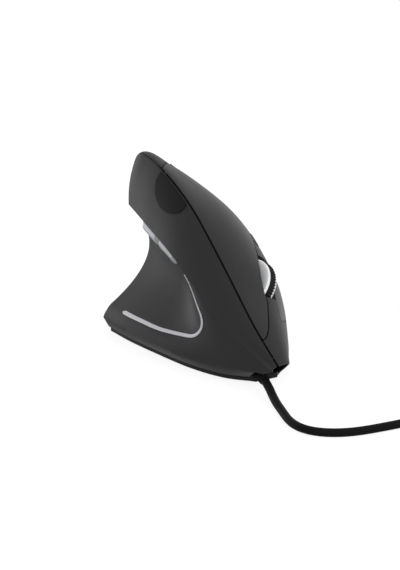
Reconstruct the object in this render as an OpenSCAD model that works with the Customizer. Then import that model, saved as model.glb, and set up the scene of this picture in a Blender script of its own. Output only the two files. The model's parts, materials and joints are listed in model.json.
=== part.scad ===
// Wired vertical mouse for the left hand.
// Two moulded shells meet along a ridge that runs from the tip, high at the rear, down to the nose.
// The thumb side carries a scoop with a lip over it, the finger side carries the buttons and the wheel.
// +Y is the front, where the cord leaves, +X is the thumb side, and Z = 0 is the desk. Sizes are in mm.

/* [Body] */
// Length of the body from heel to nose
body_length = 117.3; // [107.3:0.5:127.3]
// Width of the body at its widest
body_width = 62.5; // [58.5:0.5:68]
// Height of the tip above the desk
body_height = 74.7; // [69.7:0.5:79.7]
// Wall of the moulded shells
wall = 2; // [1.6:0.1:2.4]
// Rounding drop of the ridge at the tip
tip_round = 6.5; // [4:0.5:8]

/* [Seams] */
// Gap along the ridge beside the upper button
ridge_gap = 0.8; // [0.7:0.05:1]
// Gap along the ridge where both shells are fixed
shell_gap = 0.3; // [0.2:0.05:0.4]
// Gap round the finger buttons
panel_gap = 0.5; // [0.45:0.05:0.8]
// Gap round the thumb buttons
thumb_gap = 0.4; // [0.35:0.05:0.6]

/* [Base] */
// Thickness of the glide pads
pad_t = 0.8; // [0.6:0.1:1]
// Thickness of the floor of the base
floor_t = 2.2; // [1.8:0.1:2.6]
// Height of the locating rib inside the shells
rib_h = 2; // [1.5:0.5:3]
// Thickness of the locating rib
rib_t = 1.2; // [1:0.1:1.6]
// Diameter of the base screws
screw_d = 2.5; // [2:0.1:3]

/* [Thumb buttons] */
// How far the thumb buttons stand out of the scoop
thumb_proud = 2.2; // [1.6:0.1:2.6]
// How deep the thumb buttons reach into the shell
thumb_inset = 2.4; // [2:0.1:3]

/* [Wheel] */
// Outer diameter of the wheel
wheel_d = 24; // [22:0.5:26]
// Width of the wheel
wheel_w = 5.6; // [5:0.2:7]
// How far the wheel stands out of the buttons
wheel_proud = 3.2; // [2.6:0.2:4]
// Thickness of the rubber tyre
tyre_t = 2.2; // [1.6:0.1:3]
// Ribs moulded round the tyre
tyre_ribs = 40; // [24:1:60]
// Diameter of the wheel's axle
axle_d = 3; // [2.4:0.1:3.4]
// Radial clearance of everything that turns or slides on a round pin
run_clear = 0.05; // [0.03:0.01:0.08]
// Diameter of the hinge pins
pin_d = 2; // [1.6:0.1:2.4]

/* [Boards] */
// Thickness of the circuit boards
board_t = 1.6; // [1.2:0.1:2]
// Length of a micro switch
switch_l = 12.8; // [11:0.1:13]
// Width of a micro switch
switch_w = 5.8; // [5:0.1:6]
// Height of a micro switch without its plunger
switch_h = 6.5; // [6:0.1:7]
// Diameter of a switch plunger
plunger_d = 2.2; // [1.8:0.1:2.6]
// How far a plunger stands out of its switch
plunger_out = 0.9; // [0.8:0.05:1.1]

/* [Trim] */
// Width of the accent strip where it starts, low at the rear
strip_w_start = 1.9; // [1.4:0.1:2.4]
// Width of the accent strip where it ends, under the lip
strip_w_end = 0.9; // [0.6:0.1:1.3]
// How far the accent strip and the plate stand out of the shell
trim_proud = 0.5; // [0.4:0.05:0.7]

/* [Cord] */
// Diameter of the cord
cord_d = 3.5; // [3:0.1:4]
// Diameter of the bushing where the cord leaves the nose
bushing_d = 5.4; // [5.2:0.1:6.2]
// Turns of the coil, all layers and the climbs between them
coil_turns = 10.25; // [8.25:1:12.25]
// Radius of the outermost turn of the coil
coil_r = 24.9; // [24.4:0.5:30.4]
// Distance between neighbouring turns and layers of the coil
coil_pitch = 4.6; // [4.6:0.1:5]

/* [Hidden] */
$fn = 48;

// Shells: guide curves. Each is drawn at the size below and stretched to the body's own size.
drawn_size = [62.5, 117.3, 74.7];
stretch = [body_width / drawn_size.x, body_length / drawn_size.y, body_height / drawn_size.z];
seat_z = pad_t + floor_t;
ridge_line = [
    [11.85, -44.85, 75.5], [9.85, -24.85, 72.5], [7.35, -0.35, 62.5],
    [4.15, 22.95, 44.5], [0.65, 43.15, 26], [-3.15, 58.65, 12.5]
];
lip_line = [
    [17.35, -41.35, 53], [17.05, -20.85, 48.5], [15.85, 0.15, 42.5],
    [12.35, 21.15, 30.5], [5.85, 39.65, 18.5], [-2.15, 55.65, 9]
];
rim_line = [
    [31.35, -39.35, 7.5], [29.85, -20.85, 7.5], [26.35, -0.85, 7.5],
    [20.35, 20.15, 7.5], [10.85, 37.65, 7], [-0.15, 50.65, 6.5]
];
foot_line = [[29.85, -34.85], [27.85, -20.35], [23.85, -2.85], [17.85, 18.65], [9.85, 34.65], [-0.65, 44.65]];
shoulder_line = [
    [15.35, -55.85, 58], [-0.65, -37.35, 81], [-12.15, -8.35, 70],
    [-15.15, 21.15, 51.5], [-13.15, 43.65, 29], [-9.15, 58.65, 13.5]
];
flank_line = [
    [20.35, -55.85, 29], [-9.15, -64.35, 32.5], [-35.15, -35.35, 40.5],
    [-33.65, 5.15, 31], [-24.65, 32.15, 18], [-14.65, 51.15, 10.5]
];
heel_line = [
    [29.85, -34.85], [-1.15, -56.35], [-26.15, -34.35],
    [-30.15, 1.15], [-23.15, 28.15], [-11.15, 43.65]
];
// Shares of the guide curves' run
tip_share = 0.06;
rear_share = 0.22;
flange_s = 0.1;
lip_s = 0.6;
// Pull of the scoop's wall away from the straight line between rim and lip
scoop_low = [-19.2, 4, 2];
scoop_high = [-16.2, 5, -1.5];
band_crown = 1;
// Fullness of the finger side behind the tip and at the back, and how quickly it builds up from the edges
tip_fill = [-9.5, -3, 3];
back_fill = [-6, -11, -2];
fill_share = 0.08;

function lerp(a, b, t) = a + (b - a) * t;
function unit(v) = v / norm(v);
function smooth(a, b, x) = let(t = max(0, min(1, (x - a) / (b - a)))) t * t * (3 - 2 * t);
function fit(p) = [p.x * stretch.x, p.y * stretch.y, len(p) == 3 ? p.z * stretch.z : seat_z];
function spline(p, t) =
    let(n = len(p) - 1, k = min(floor(t * n), n - 1), f = t * n - k)
    let(b = fit(p[k]), c = fit(p[k + 1]))
    let(a = k > 0 ? fit(p[k - 1]) : 2 * b - c, d = k + 2 <= n ? fit(p[k + 2]) : 2 * c - b)
    (2 * b + (c - a) * f + (2 * a - 5 * b + 4 * c - d) * f * f + (3 * b - a - 3 * c + d) * f * f * f) / 2;
function bezier(a, b, c, d, t) =
    a * pow(1 - t, 3) + b * 3 * pow(1 - t, 2) * t + c * 3 * (1 - t) * t * t + d * t * t * t;
function tip_drop(u) =
    let(k = max(0, 1 - u / tip_share))
    tip_round * (1 - sqrt(max(0, 1 - k * k))) * [0.1, -0.15, -1];
function ridge(u) = spline(ridge_line, u) + tip_drop(u);

// Both sides of the body: u runs from the rear to the nose, s across.
// On the thumb side s climbs from the foot to the ridge.
// On the finger side it falls from the ridge to the foot.
function scoop(g, l, u, t) =
    let(low = lerp(g, l, 0.36) + scoop_low * (1 - smooth(0.35, 0.8, u)))
    let(high = lerp(g, l, 0.74) + scoop_high * (1 - smooth(0.3, 0.62, u)))
    bezier(g, low, high, l, t);
thumb_side = function(u, s)
    let(f = spline(foot_line, u), g = spline(rim_line, u), l = spline(lip_line, u))
    s <= flange_s ? lerp(f, g, s / flange_s) :
    s <= lip_s ? scoop(g, l, u, (s - flange_s) / (lip_s - flange_s)) :
    let(t = (s - lip_s) / (1 - lip_s))
    lerp(l, ridge(u), t) + band_crown * 4 * t * (1 - t) * [1, 0, 0.3];
function finger_raw(u, s) =
    bezier(spline(ridge_line, u), spline(shoulder_line, u), spline(flank_line, u), spline(heel_line, u), s)
        + tip_drop(u) * pow(1 - s, 8);
function build_up(x) = 1 - exp(-x / fill_share);
function fullness(u, s) =
    lerp(tip_fill, back_fill, smooth(0.15, 0.5, s))
        * build_up(u) * build_up(s) * (1 - smooth(0.06, 0.3, u)) * (1 - smooth(0.55, 0.95, s));
finger_side = function(u, s)
    let(w = 1 - smooth(0, rear_share, u), p = finger_raw(u, s) + fullness(u, s))
    w > 0 ? p + (thumb_side(0, 1 - s) - finger_raw(0, s)) * w : p;

// Directions and lengths on a side
nudge = 0.003;
function along_u(f, u, s) =
    let(a = max(0, u - nudge), b = min(1, u + nudge)) (f(b, s) - f(a, s)) / (b - a);
function along_s(f, u, s) =
    let(a = max(0, s - nudge), b = min(1, s + nudge)) (f(u, b) - f(u, a)) / (b - a);
function normal(f, u, s) = unit(cross(along_u(f, u, s), along_s(f, u, s)));
function share_u(f, u, s, length) = length / norm(along_u(f, u, s));
function share_s(f, u, s, length) = length / norm(along_s(f, u, s));
tip_up = [0, -0.4, 1];
function mitre(n, m) = let(c = 1 + n * m) (n + m) / max(0.5, c) + tip_up * max(0, 1 - 2 * c);
function flat(v) = [v.x, v.y, 0];
function level(n) = [n.x, n.y, 0] / (n.x * n.x + n.y * n.y);

// Direction in which a shell's wall grows inwards: square to the skin, mitred at the ridge and the
// rear edge, level at the foot, and shorter where the tip is too narrow for two full walls
function ridge_mitre(u) = mitre(normal(thumb_side, u, 1), normal(finger_side, u, 0));
function rear_mitre(s) = mitre(normal(thumb_side, 0, s), normal(finger_side, 0, 1 - s));
function tip_wall(u, from_ridge) = lerp(0.45, 1, max(smooth(0.02, 0.14, u), smooth(0.25, 0.5, from_ridge)));
function foot_in(n, u, s) = lerp(level(n), flat(rear_mitre(s)), 1 - smooth(0, 0.06, u));
function lip_normal(u) = 1.3 * normal(thumb_side, u, lip_s - 2 * nudge);
function thumb_in(u, s) =
    let(n = abs(s - lip_s) < nudge ? lip_normal(u) : normal(thumb_side, u, s))
    let(at_ridge = s > 0.88 ? lerp(n, ridge_mitre(u), smooth(0.88, 1, s)) : n)
    let(at_rear = u < 0.06 ? lerp(at_ridge, rear_mitre(s), 1 - smooth(0, 0.06, u)) : at_ridge)
    tip_wall(u, 1 - s) * (s < 0.05 ? lerp(at_rear, foot_in(n, u, s), 1 - smooth(0, 0.05, s)) : at_rear);
function finger_in(u, s) =
    let(n = normal(finger_side, u, s))
    let(at_ridge = s < 0.1 ? lerp(n, ridge_mitre(u), 1 - smooth(0, 0.1, s)) : n)
    let(at_rear = u < 0.05 ? lerp(at_ridge, rear_mitre(1 - s), 1 - smooth(0, 0.05, u)) : at_ridge)
    tip_wall(u, s) * (s > 0.95 ? lerp(at_rear, foot_in(n, u, 1 - s), smooth(0.95, 1, s)) : at_rear);

// Gap along the ridge: narrow between the fixed shells, wider beside the upper button
function seam_gap(u) = lerp(shell_gap, ridge_gap, smooth(0.17, 0.21, u));
function thumb_top(u) = 1 - share_s(thumb_side, u, 0.99, seam_gap(u) / 2);
function finger_top(u) = share_s(finger_side, u, 0.01, seam_gap(u) / 2);
function rear_cut(f, s) = share_u(f, 0.01, s, shell_gap);

// A solid from a grid of cells: the outer skin, the inner skin and a wall at each open edge.
// at(i, j, k) gives the corner i, j on the outer skin for k = 0 and on the inner skin for k = 1.
module cell_solid(cells_u, cells_s, at, keep) {
    rows = cells_s + 1;
    layer = (cells_u + 1) * rows;
    has = function(i, j) i >= 0 && j >= 0 && i < cells_u && j < cells_s && keep(i, j);
    spot = function(i, j) i * rows + j;
    points = [for (k = [0, 1]) for (i = [0:cells_u]) for (j = [0:cells_s]) at(i, j, k)];
    faces = [
        for (i = [0:cells_u - 1]) for (j = [0:cells_s - 1]) if (has(i, j))
            let(a = spot(i, j), b = spot(i, j + 1), c = spot(i + 1, j + 1), d = spot(i + 1, j))
            each concat(
                [[a, b, c], [a, c, d], [c + layer, b + layer, a + layer], [d + layer, c + layer, a + layer]],
                has(i - 1, j) ? [] : [[b, a, a + layer], [b, a + layer, b + layer]],
                has(i, j + 1) ? [] : [[c, b, b + layer], [c, b + layer, c + layer]],
                has(i + 1, j) ? [] : [[d, c, c + layer], [d, c + layer, d + layer]],
                has(i, j - 1) ? [] : [[a, d, d + layer], [a, d + layer, a + layer]])
    ];
    polyhedron(points, faces);
}
all_cells = function(i, j) true;
// Position of line i among stretches of counts[k] cells that end at stops[k + 1]
function stop_at(stops, counts, i, k = 0) =
    i <= counts[k] || k == len(counts) - 1 ? lerp(stops[k], stops[k + 1], i / counts[k]) :
    stop_at(stops, counts, i - counts[k], k + 1);
function stretch_of(counts, i, k = 0) = i < counts[k] ? k : stretch_of(counts, i - counts[k], k + 1);
function total(v, i = 0) = i < len(v) ? v[i] + total(v, i + 1) : 0;

// A rigid place: origin, direction of x, and z outwards
function place(o, x, z) =
    let(c = unit(z), a = unit(x - (x * c) * c), b = cross(c, a))
    [[a.x, b.x, c.x, o.x], [a.y, b.y, c.y, o.y], [a.z, b.z, c.z, o.z], [0, 0, 0, 1]];
function to_body(m, p) = let(q = m * [p.x, p.y, p.z, 1]) [q.x, q.y, q.z];
function axis_x(m) = [m[0][0], m[1][0], m[2][0]];
function axis_y(m) = [m[0][1], m[1][1], m[2][1]];
function axis_z(m) = [m[0][2], m[1][2], m[2][2]];
// A place under the finger side's skin, x towards the front
function finger_place(u, s, depth) =
    let(n = normal(finger_side, u, s))
    place(finger_side(u, s) - depth * n, along_u(finger_side, u, s), n);
// Height of the finger side's skin above the xy plane of a place, over the point x, y
function skin_over(m, x, y, u, s, n = 7) =
    let(p = finger_side(u, s), o = to_body(m, [0, 0, 0]))
    let(ax = axis_x(m), ay = axis_y(m), r = p - o)
    let(ex = x - r * ax, ey = y - r * ay)
    n == 0 ? r * axis_z(m) :
    let(du = along_u(finger_side, u, s), ds = along_s(finger_side, u, s))
    let(a = du * ax, b = ds * ax, c = du * ay, d = ds * ay, det = a * d - b * c)
    skin_over(m, x, y, u + (ex * d - ey * b) / det, s + (ey * a - ex * c) / det, n - 1);

// Finger side: the two buttons and the strip between them
// The strip bends beside the straight wheel, so it is wider than the wheel by its bow
strip_bow = 1.2;
strip_w = wheel_w + 2 * panel_gap + strip_bow;
upper_rear_u = 0.205;
upper_front_u = 0.872;
lower_rear_u = 0.36;
lower_front_u = 0.79;
function upper_edge(u) = 0.47 - 0.2 * smooth(0.42, 0.72, u);
function lower_start(u) = upper_edge(u) + share_s(finger_side, u, upper_edge(u), strip_w);
function lower_end(u) = lower_start(u) + 0.25;
function upper_rear(b) = upper_rear_u + 0.04 * b;
function upper_front(b) = upper_front_u - 0.13 * b * b;
function lower_rear(b) = lower_rear_u + 0.02 * b;
function lower_front(b) = lower_front_u - 0.05 * b * b;

function strip_mid(u) = (upper_edge(u) + lower_start(u)) / 2;
// A place under the middle of the strip, x along the strip
function strip_place(u, depth) =
    let(n = normal(finger_side, u, strip_mid(u)), a = u - nudge, b = u + nudge)
    let(heading = finger_side(b, strip_mid(b)) - finger_side(a, strip_mid(a)))
    place(finger_side(u, strip_mid(u)) - depth * n, heading, n);

// Wheel: placed under the middle of the strip
wheel_u = 0.655;
wheel_s = strip_mid(wheel_u);
wheel_depth = wheel_d / 2 - wheel_proud;
wheel_at = strip_place(wheel_u, wheel_depth);
wheel_chord = 2 * sqrt(pow(wheel_d / 2, 2) - pow(wheel_depth - wall, 2));
wheel_half_u = share_u(finger_side, wheel_u, wheel_s, wheel_chord / 2 + 0.9);

// Speed button on the strip behind the wheel
pace_u = 0.515;
pace_l = 8.4;
pace_w = 3.6;
pace_s = strip_mid(pace_u);
pace_half_u = share_u(finger_side, pace_u, pace_s, pace_l / 2);
pace_at = strip_place(pace_u, 0);

// Cradle and boards, in the wheel's own place
cheek_t = 1.6;
cheek_gap = 0.6;
cheek_y = wheel_w / 2 + cheek_gap;
pivot_x = -wheel_d / 2 - 4;
pivot_z = -1.2;
board_z = -wheel_d / 2 + 4.4;
board_x0 = -wheel_d / 2 - 1;
board_x1 = wheel_d / 2 + 12;
board_y = 12.4;
plate_t = 2;
plate_z = -wheel_d / 2 - 1.6;
plate_x0 = pivot_x - 8;
post_d = 4.6;
post_bore = 1.5;
upper_switch_x = 3;
lower_switch_x = 12.4;
switch_y = cheek_y + cheek_t + 0.4 + switch_w / 2;
board_front = [[board_x1, -4], [board_x1, 4], [lower_switch_x + 6.8, board_y]];
tact_w = 6;
tact_h = 3.4;
tact_x = wheel_d / 2 + 2.4;
touch_gap = 0.1;

// Thumb buttons under the lip
thumb_s0 = 0.5;
thumb_s1 = 0.575;
back_u = [0.085, 0.235];
forward_u = [0.25, 0.41];
thumb_mid_u = (back_u[0] + forward_u[1]) / 2;
thumb_mid_s = (thumb_s0 + thumb_s1) / 2;
thumb_at = place(thumb_side(thumb_mid_u, thumb_mid_s), along_u(thumb_side, thumb_mid_u, thumb_mid_s),
    normal(thumb_side, thumb_mid_u, thumb_mid_s));
function thumb_spot(us) =
    let(m = thumb_side((us[0] + us[1]) / 2, thumb_mid_s) - to_body(thumb_at, [0, 0, 0]))
    m * axis_x(thumb_at);
thumb_board_z = -12.5;
thumb_board_y = 5;

// Inner frame: a standing web that carries the boards and the hinges
web_x = -5.4;
web_t = 2;
drawn_web = [[-35, 54], [-11, 49.5], [1, 46.5], [9, 41], [31, 20]];
web_top = [for (q = drawn_web) [q[0] * stretch.y, q[1] * stretch.z]];
leg_w = 8;
main_board_z = seat_z + 3;
main_board_x = [-17, 13];
main_board_y = [-26, 12];
sensor_at = [-2, -6];

// Hinges of the finger buttons
hinge_drop = 5.2;
knuckle_d = 4.4;
knuckle_w = 2.4;
knuckle_y = 4.3;
upper_mid = upper_edge(upper_rear_u) * 0.53;
upper_hinge = finger_place(upper_rear_u + 0.055, upper_mid, hinge_drop);
lower_mid = (lower_start(lower_rear_u) + lower_end(lower_rear_u)) / 2;
lower_hinge = finger_place(lower_rear_u + 0.035, lower_mid, hinge_drop);

// Cord route, chosen by hand, from the bushing to the coil
coil_base = 0.7 + cord_d / 2;
coil_centre = [-77.15, 85.15];
coil_start = coil_centre + [0, coil_r];
cord_exit = [-1.1, 50.95, 4];
cord_heading = [0.21, 1, 0];
cord_route = [
    cord_exit, cord_exit + 1.5 * cord_heading, cord_exit + 3 * cord_heading, [0.65, 59.15, 3.5],
    [1.45, 63.15, 2.6], [2.4, 67.65, 2], [3.35, 72.15, 1.8],
    [4.35, 77.15, 1.8], [5.35, 82.15, 1.8], [6.2, 87.15, 1.8], [6.4, 92.15, 1.8],
    [5.5, 97.1, 1.8], [3.15, 101.5, 1.8], [-0.5, 105, 1.8], [-5.15, 107.5, 1.8],
    [-10.75, 109.1, 1.8], [-17.15, 109.85, 1.85], [-25.15, 110.05, 1.95], [-34.15, 110.05, 2.1],
    [-44.15, 110.05, 2.3], [-54.15, 110.05, 2.4], [-64.15, 110.05, 2.45],
    [coil_start.x + 3.5, coil_start.y, 2.45]
];
tail_end = [-97.15, 37.15, 4];
tail_route = [
    [-102.05, 81.55, 16.25], [-102.05, 78.15, 16.2], [-101.65, 72.15, 15.3], [-100.75, 66.15, 13.1],
    [-99.75, 60.65, 10.5], [-98.75, 55.15, 7.8], [-97.95, 50.15, 5.7], [-97.35, 45.65, 4.4],
    [-97.15, 41.65, 4], [-97.15, 39.65, 4], tail_end
];

// Base and what stands on it
floor_inset = 1.2;
rib_gap = 0.5;
web_rear_y = web_top[0][0];
web_foot_z = 16;
leg_out = 5;
leg_boss_h = 6;
leg_boss_d = 5;
leg_y = [web_top[len(web_top) - 1][0] - leg_w / 2, web_rear_y + leg_w / 2];
leg_screws = [for (y = leg_y) for (side = [-1, 1]) [web_x + side * leg_out, y]];
screw_head_d = 4.6;
screw_head_h = 1.2;
main_posts = [for (x = main_board_x) for (y = main_board_y) [x - sign(x) * 3, y - sign(y) * 3]];
window_w = 7;
window_l = 10;
header_at = [4, main_board_y[1] - 9];
pad_l = 12;
pad_w = 6;
pad_spots = [[-6, 32, 10], [15, -28, 80], [-14, -38, -35], [-20, 8, 85]];

// Bushing and the post of the base that holds it
saddle_y = 40.1;
saddle_l = 3.5;
saddle_w = 8;
saddle_h = 5;
neck_d = 4.2;
saddle_mid_y = saddle_y + saddle_l / 2;
saddle_x = cord_exit.x - cord_heading.x / cord_heading.y * (cord_exit.y - saddle_mid_y);
bushing_reach = norm([cord_exit.x - saddle_x, cord_exit.y - saddle_mid_y]);

// Cuts in the thumb shell: the window of the thumb buttons, and the notch over the bushing
thumb_gap_u = share_u(thumb_side, back_u[1], thumb_mid_s, thumb_gap);
thumb_gap_s = share_s(thumb_side, back_u[1], thumb_mid_s, thumb_gap);
notch_u = 0.935;
notch_s = 0.17;

// Trim
trim_lift = 0.12;
plate_u = [0.2, 0.387];
plate_deep = 0.185;
plate_skew = 0.15;

// Clearances and seats inside
sink = 0.7;
plunger_well = 2.4;
plunger_in = 1.5;
pace_gap_u = share_u(finger_side, pace_u, pace_s, thumb_gap);
pace_deep = wall + 6;
pace_arm = 12.5;
pace_proud = 0.25;
arm_l = 12;
arm_t = 3;
arm_root = 5.5;
finger_posts = [[board_x0 + 3, -board_y + 3], [board_x0 + 3, board_y - 3], [board_x1 - 3, 0]];
thumb_board_x = [-25, 18];
thumb_posts = [-21.5, (thumb_spot(back_u) + thumb_spot(forward_u)) / 2];
thumb_post_h = 2.6 + max(0, body_width - drawn_size.x) / 4;
rest_y = [-6.6, 1.9];
rest_l = 31;
thumb_stem_z = thumb_board_z + switch_h + plunger_out + touch_gap;
cradle_z = board_z + tact_h + plunger_out + touch_gap;
cradle_h = 3.4;
encoder_w = 4;
rim_w = 1.1;
rib_deep = 0.45;

// Tie and plug
tie_t = 0.6;
tie_w = 6;
grip_w = 13;
grip_h = 8;
grip_l = 22;

// Footprint: the foot of both sides as one loop, and strips that follow it at a distance inside
function foot_2d(u) = let(p = thumb_side(u, 0)) [p.x, p.y];
function heel_2d(u) = let(p = finger_side(u, 1)) [p.x, p.y];
foot_run = [for (k = [0:28]) foot_2d(k / 28)];
heel_run = [for (k = [0:44]) heel_2d(1 - k / 44 * 0.985)];
function inset_loop(loop, d) = [
    for (k = [0:len(loop) - 1])
        let(a = loop[(k + len(loop) - 1) % len(loop)], b = loop[(k + 1) % len(loop)], t = unit(b - a))
        loop[k] - d * [t.y, -t.x]
];
function inset_run(run, d) = [
    for (k = [0:len(run) - 1])
        let(t = unit(run[min(k + 1, len(run) - 1)] - run[max(k - 1, 0)])) run[k] - d * [t.y, -t.x]
];
function reversed(v) = [for (k = [len(v) - 1:-1:0]) v[k]];
function strip_inside(run, near, far) = concat(inset_run(run, near), reversed(inset_run(run, far)));

module base_plate() {
    color("#2b2b2d") difference() {
        union() {
            translate([0, 0, pad_t]) linear_extrude(floor_t)
                polygon(inset_loop(concat(foot_run, heel_run), floor_inset));
            translate([0, 0, seat_z]) linear_extrude(rib_h) {
                polygon(strip_inside([for (k = [3:24]) foot_run[k]], wall + rib_gap, wall + rib_gap + rib_t));
                polygon(strip_inside([for (k = [3:38]) heel_run[k]], wall + rib_gap, wall + rib_gap + rib_t));
            }
            for (p = main_posts) translate([p.x, p.y, seat_z])
                cylinder(d = post_d, h = main_board_z - seat_z);
            saddle();
        }
        for (p = main_posts) translate([p.x, p.y, seat_z]) cylinder(d = post_bore, h = main_board_z);
        for (p = leg_screws) translate([p.x, p.y, 0]) {
            cylinder(d = screw_d + 0.4, h = seat_z + 1);
            cylinder(d = screw_head_d + 0.4, h = pad_t + screw_head_h);
        }
        translate([sensor_at.x - window_w / 2, sensor_at.y - window_l / 2, 0])
            cube([window_w, window_l, seat_z + 1]);
        along_cord() translate([0, 0, -saddle_l * 2]) cylinder(d = neck_d + 0.1, h = saddle_l * 4);
        along_cord() translate([0, 0, -saddle_l / 2 - 3]) cylinder(d = neck_d + 2.4, h = 3);
        along_cord() translate([0, 0, saddle_l / 2]) cylinder(d = bushing_d + 0.4, h = bushing_reach);
    }
}

// Post at the front of the base that holds the bushing
module saddle() {
    translate([saddle_x - saddle_w / 2, saddle_y, seat_z]) cube([saddle_w, saddle_l, saddle_h]);
}

// Place on the cord's axis at the saddle, z along the cord
module along_cord() {
    multmatrix(place([saddle_x, saddle_y + saddle_l / 2, cord_exit.z], [0, 0, 1], cord_heading)) children();
}

module glide_pads() {
    color("#111113") for (p = pad_spots) translate([p.x, p.y, 0]) rotate(p.z) {
        translate([-pad_l / 2, -pad_w / 2, 0]) cube([pad_l, pad_w, pad_t]);
        for (side = [-1, 1]) translate([side * pad_l / 2, 0, 0]) cylinder(d = pad_w, h = pad_t);
    }
}

module base_screws() {
    color("silver") for (p = leg_screws) translate([p.x, p.y, pad_t]) {
        difference() {
            cylinder(d = screw_head_d, h = screw_head_h);
            translate([0, 0, -1]) cylinder(d = 2, h = 1.6, $fn = 6);
        }
        cylinder(d = screw_d, h = floor_t + leg_boss_h - 1);
    }
}

// Shells
module thumb_shell() {
    counts_u = [3, 15, 12, 3];
    counts_s = [1, 3, 8, 2, 9];
    color("#3c3c3e") cell_solid(total(counts_u), total(counts_s),
        function(i, j, k)
            let(window_u = [back_u[0] - thumb_gap_u, forward_u[1] + thumb_gap_u])
            let(rear = rear_cut(thumb_side, 0.3) * (j < 2 ? 4 : 1))
            let(u = stop_at([rear, window_u[0], window_u[1], notch_u, 1], counts_u, i))
            let(stops_s = [0, flange_s, notch_s, thumb_s0 - thumb_gap_s, lip_s, thumb_top(u)])
            let(s = stop_at(stops_s, counts_s, j))
            thumb_side(u, s) - k * wall * thumb_in(u, s),
        function(i, j)
            let(a = stretch_of(counts_u, i), b = stretch_of(counts_s, j))
            !(a == 1 && b == 3) && !(a == 3 && b <= 1));
}

// Stops along u and s of the palm shell's grid, which runs round both buttons, the wheel and the speed button
palm_u = [8, 4, 2, 2, 5, 3, 5];
palm_s = [8, 4, 6, 4, 3];
strip_rows = [0, 0.17, 0.5, 0.83, 1];
function gap_u(u, s) = share_u(finger_side, u, s, panel_gap / 2);
function gap_s(u, s) = share_s(finger_side, u, s, panel_gap / 2);
function palm_rear(part, b) =
    part == 0 ? upper_rear(b) :
    part == 1 ? lerp(upper_rear(1), lower_rear(0), b) :
    part == 2 ? lower_rear(b) : lower_rear(1);
function palm_front(part, b) =
    part == 0 ? upper_front(b) :
    part == 1 ? lerp(upper_front(1), lower_front(0), b) :
    part == 2 ? lower_front(b) : lower_front(1);
function palm_s_stop(k, u) =
    k == 0 ? finger_top(u) :
    k == 1 ? upper_edge(u) + gap_s(u, upper_edge(u)) :
    k == 2 ? lower_start(u) - gap_s(u, lower_start(u)) :
    k == 3 ? lower_end(u) + gap_s(u, lower_end(u)) :
    k == 4 ? 1 - flange_s : 1;
function palm_spot(i, j) =
    let(part = stretch_of(palm_s, min(j, total(palm_s) - 1)))
    let(first = total([for (k = [0:1:part - 1]) palm_s[k]]))
    let(b = part == 1 ? strip_rows[j - first] : (j - first) / palm_s[part])
    let(rear = palm_rear(part, b), front = palm_front(part, b), pace_half = pace_half_u + pace_gap_u)
    let(stops = [
        rear_cut(finger_side, 0.4), rear - gap_u(rear, 0.3), pace_u - pace_half, pace_u + pace_half,
        wheel_u - wheel_half_u, wheel_u + wheel_half_u, front + gap_u(front, 0.3), 1
    ])
    let(u = stop_at(stops, palm_u, i))
    [u, lerp(palm_s_stop(part, u), palm_s_stop(part + 1, u), b)];
module palm_skin() {
    cell_solid(total(palm_u), total(palm_s),
        function(i, j, k)
            let(q = palm_spot(i, j))
            finger_side(q[0], q[1]) - k * wall * finger_in(q[0], q[1]),
        function(i, j)
            let(a = stretch_of(palm_u, i), part = stretch_of(palm_s, j), row = j - palm_s[0])
            part >= 3 ? true :
            part == 1 ? a != 4 && !(a == 2 && (row == 1 || row == 2)) :
            a == 0 || a == 6);
}
module palm_shell() {
    color("#39393b") difference() {
        union() {
            palm_skin();
            hinge_arm(upper_hinge, upper_rear_u, upper_mid);
            hinge_arm(lower_hinge, lower_rear_u, lower_mid);
        }
        multmatrix(upper_hinge) across(pin_d + 0.02, 30);
        multmatrix(lower_hinge) across(pin_d + 0.02, 30);
    }
}
// Arm under the shell behind a finger button, with the boss that holds the hinge pin
module hinge_arm(at, u, s) {
    half = knuckle_y - knuckle_w / 2 - 0.3;
    root = skin_over(at, -arm_l + arm_t, 0, u, s) - wall + sink;
    multmatrix(at) {
        across(knuckle_d, 2 * half);
        translate([-arm_l, -half, -arm_t / 2]) cube([arm_l, 2 * half, arm_t]);
        translate([-arm_l, -half, 0]) cube([arm_root, 2 * half, root]);
    }
}

// Plain inlay plate on the thumb side against the ridge, half round
module ridge_plate() {
    cells = 16;
    rows = 5;
    color("#242426") cell_solid(cells, rows,
        function(i, j, k)
            let(a = lerp(0.04, 0.96, i / cells), b = j / rows)
            let(deep = plate_deep * sqrt(1 - pow(2 * a - 1, 2)) * (1 - b))
            let(u = lerp(plate_u[0], plate_u[1], a) - plate_skew * deep)
            let(s = thumb_top(u) - 0.012 - deep)
            thumb_side(u, s) + (k == 0 ? trim_proud : trim_lift) * normal(thumb_side, u, s),
        all_cells);
}

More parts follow.
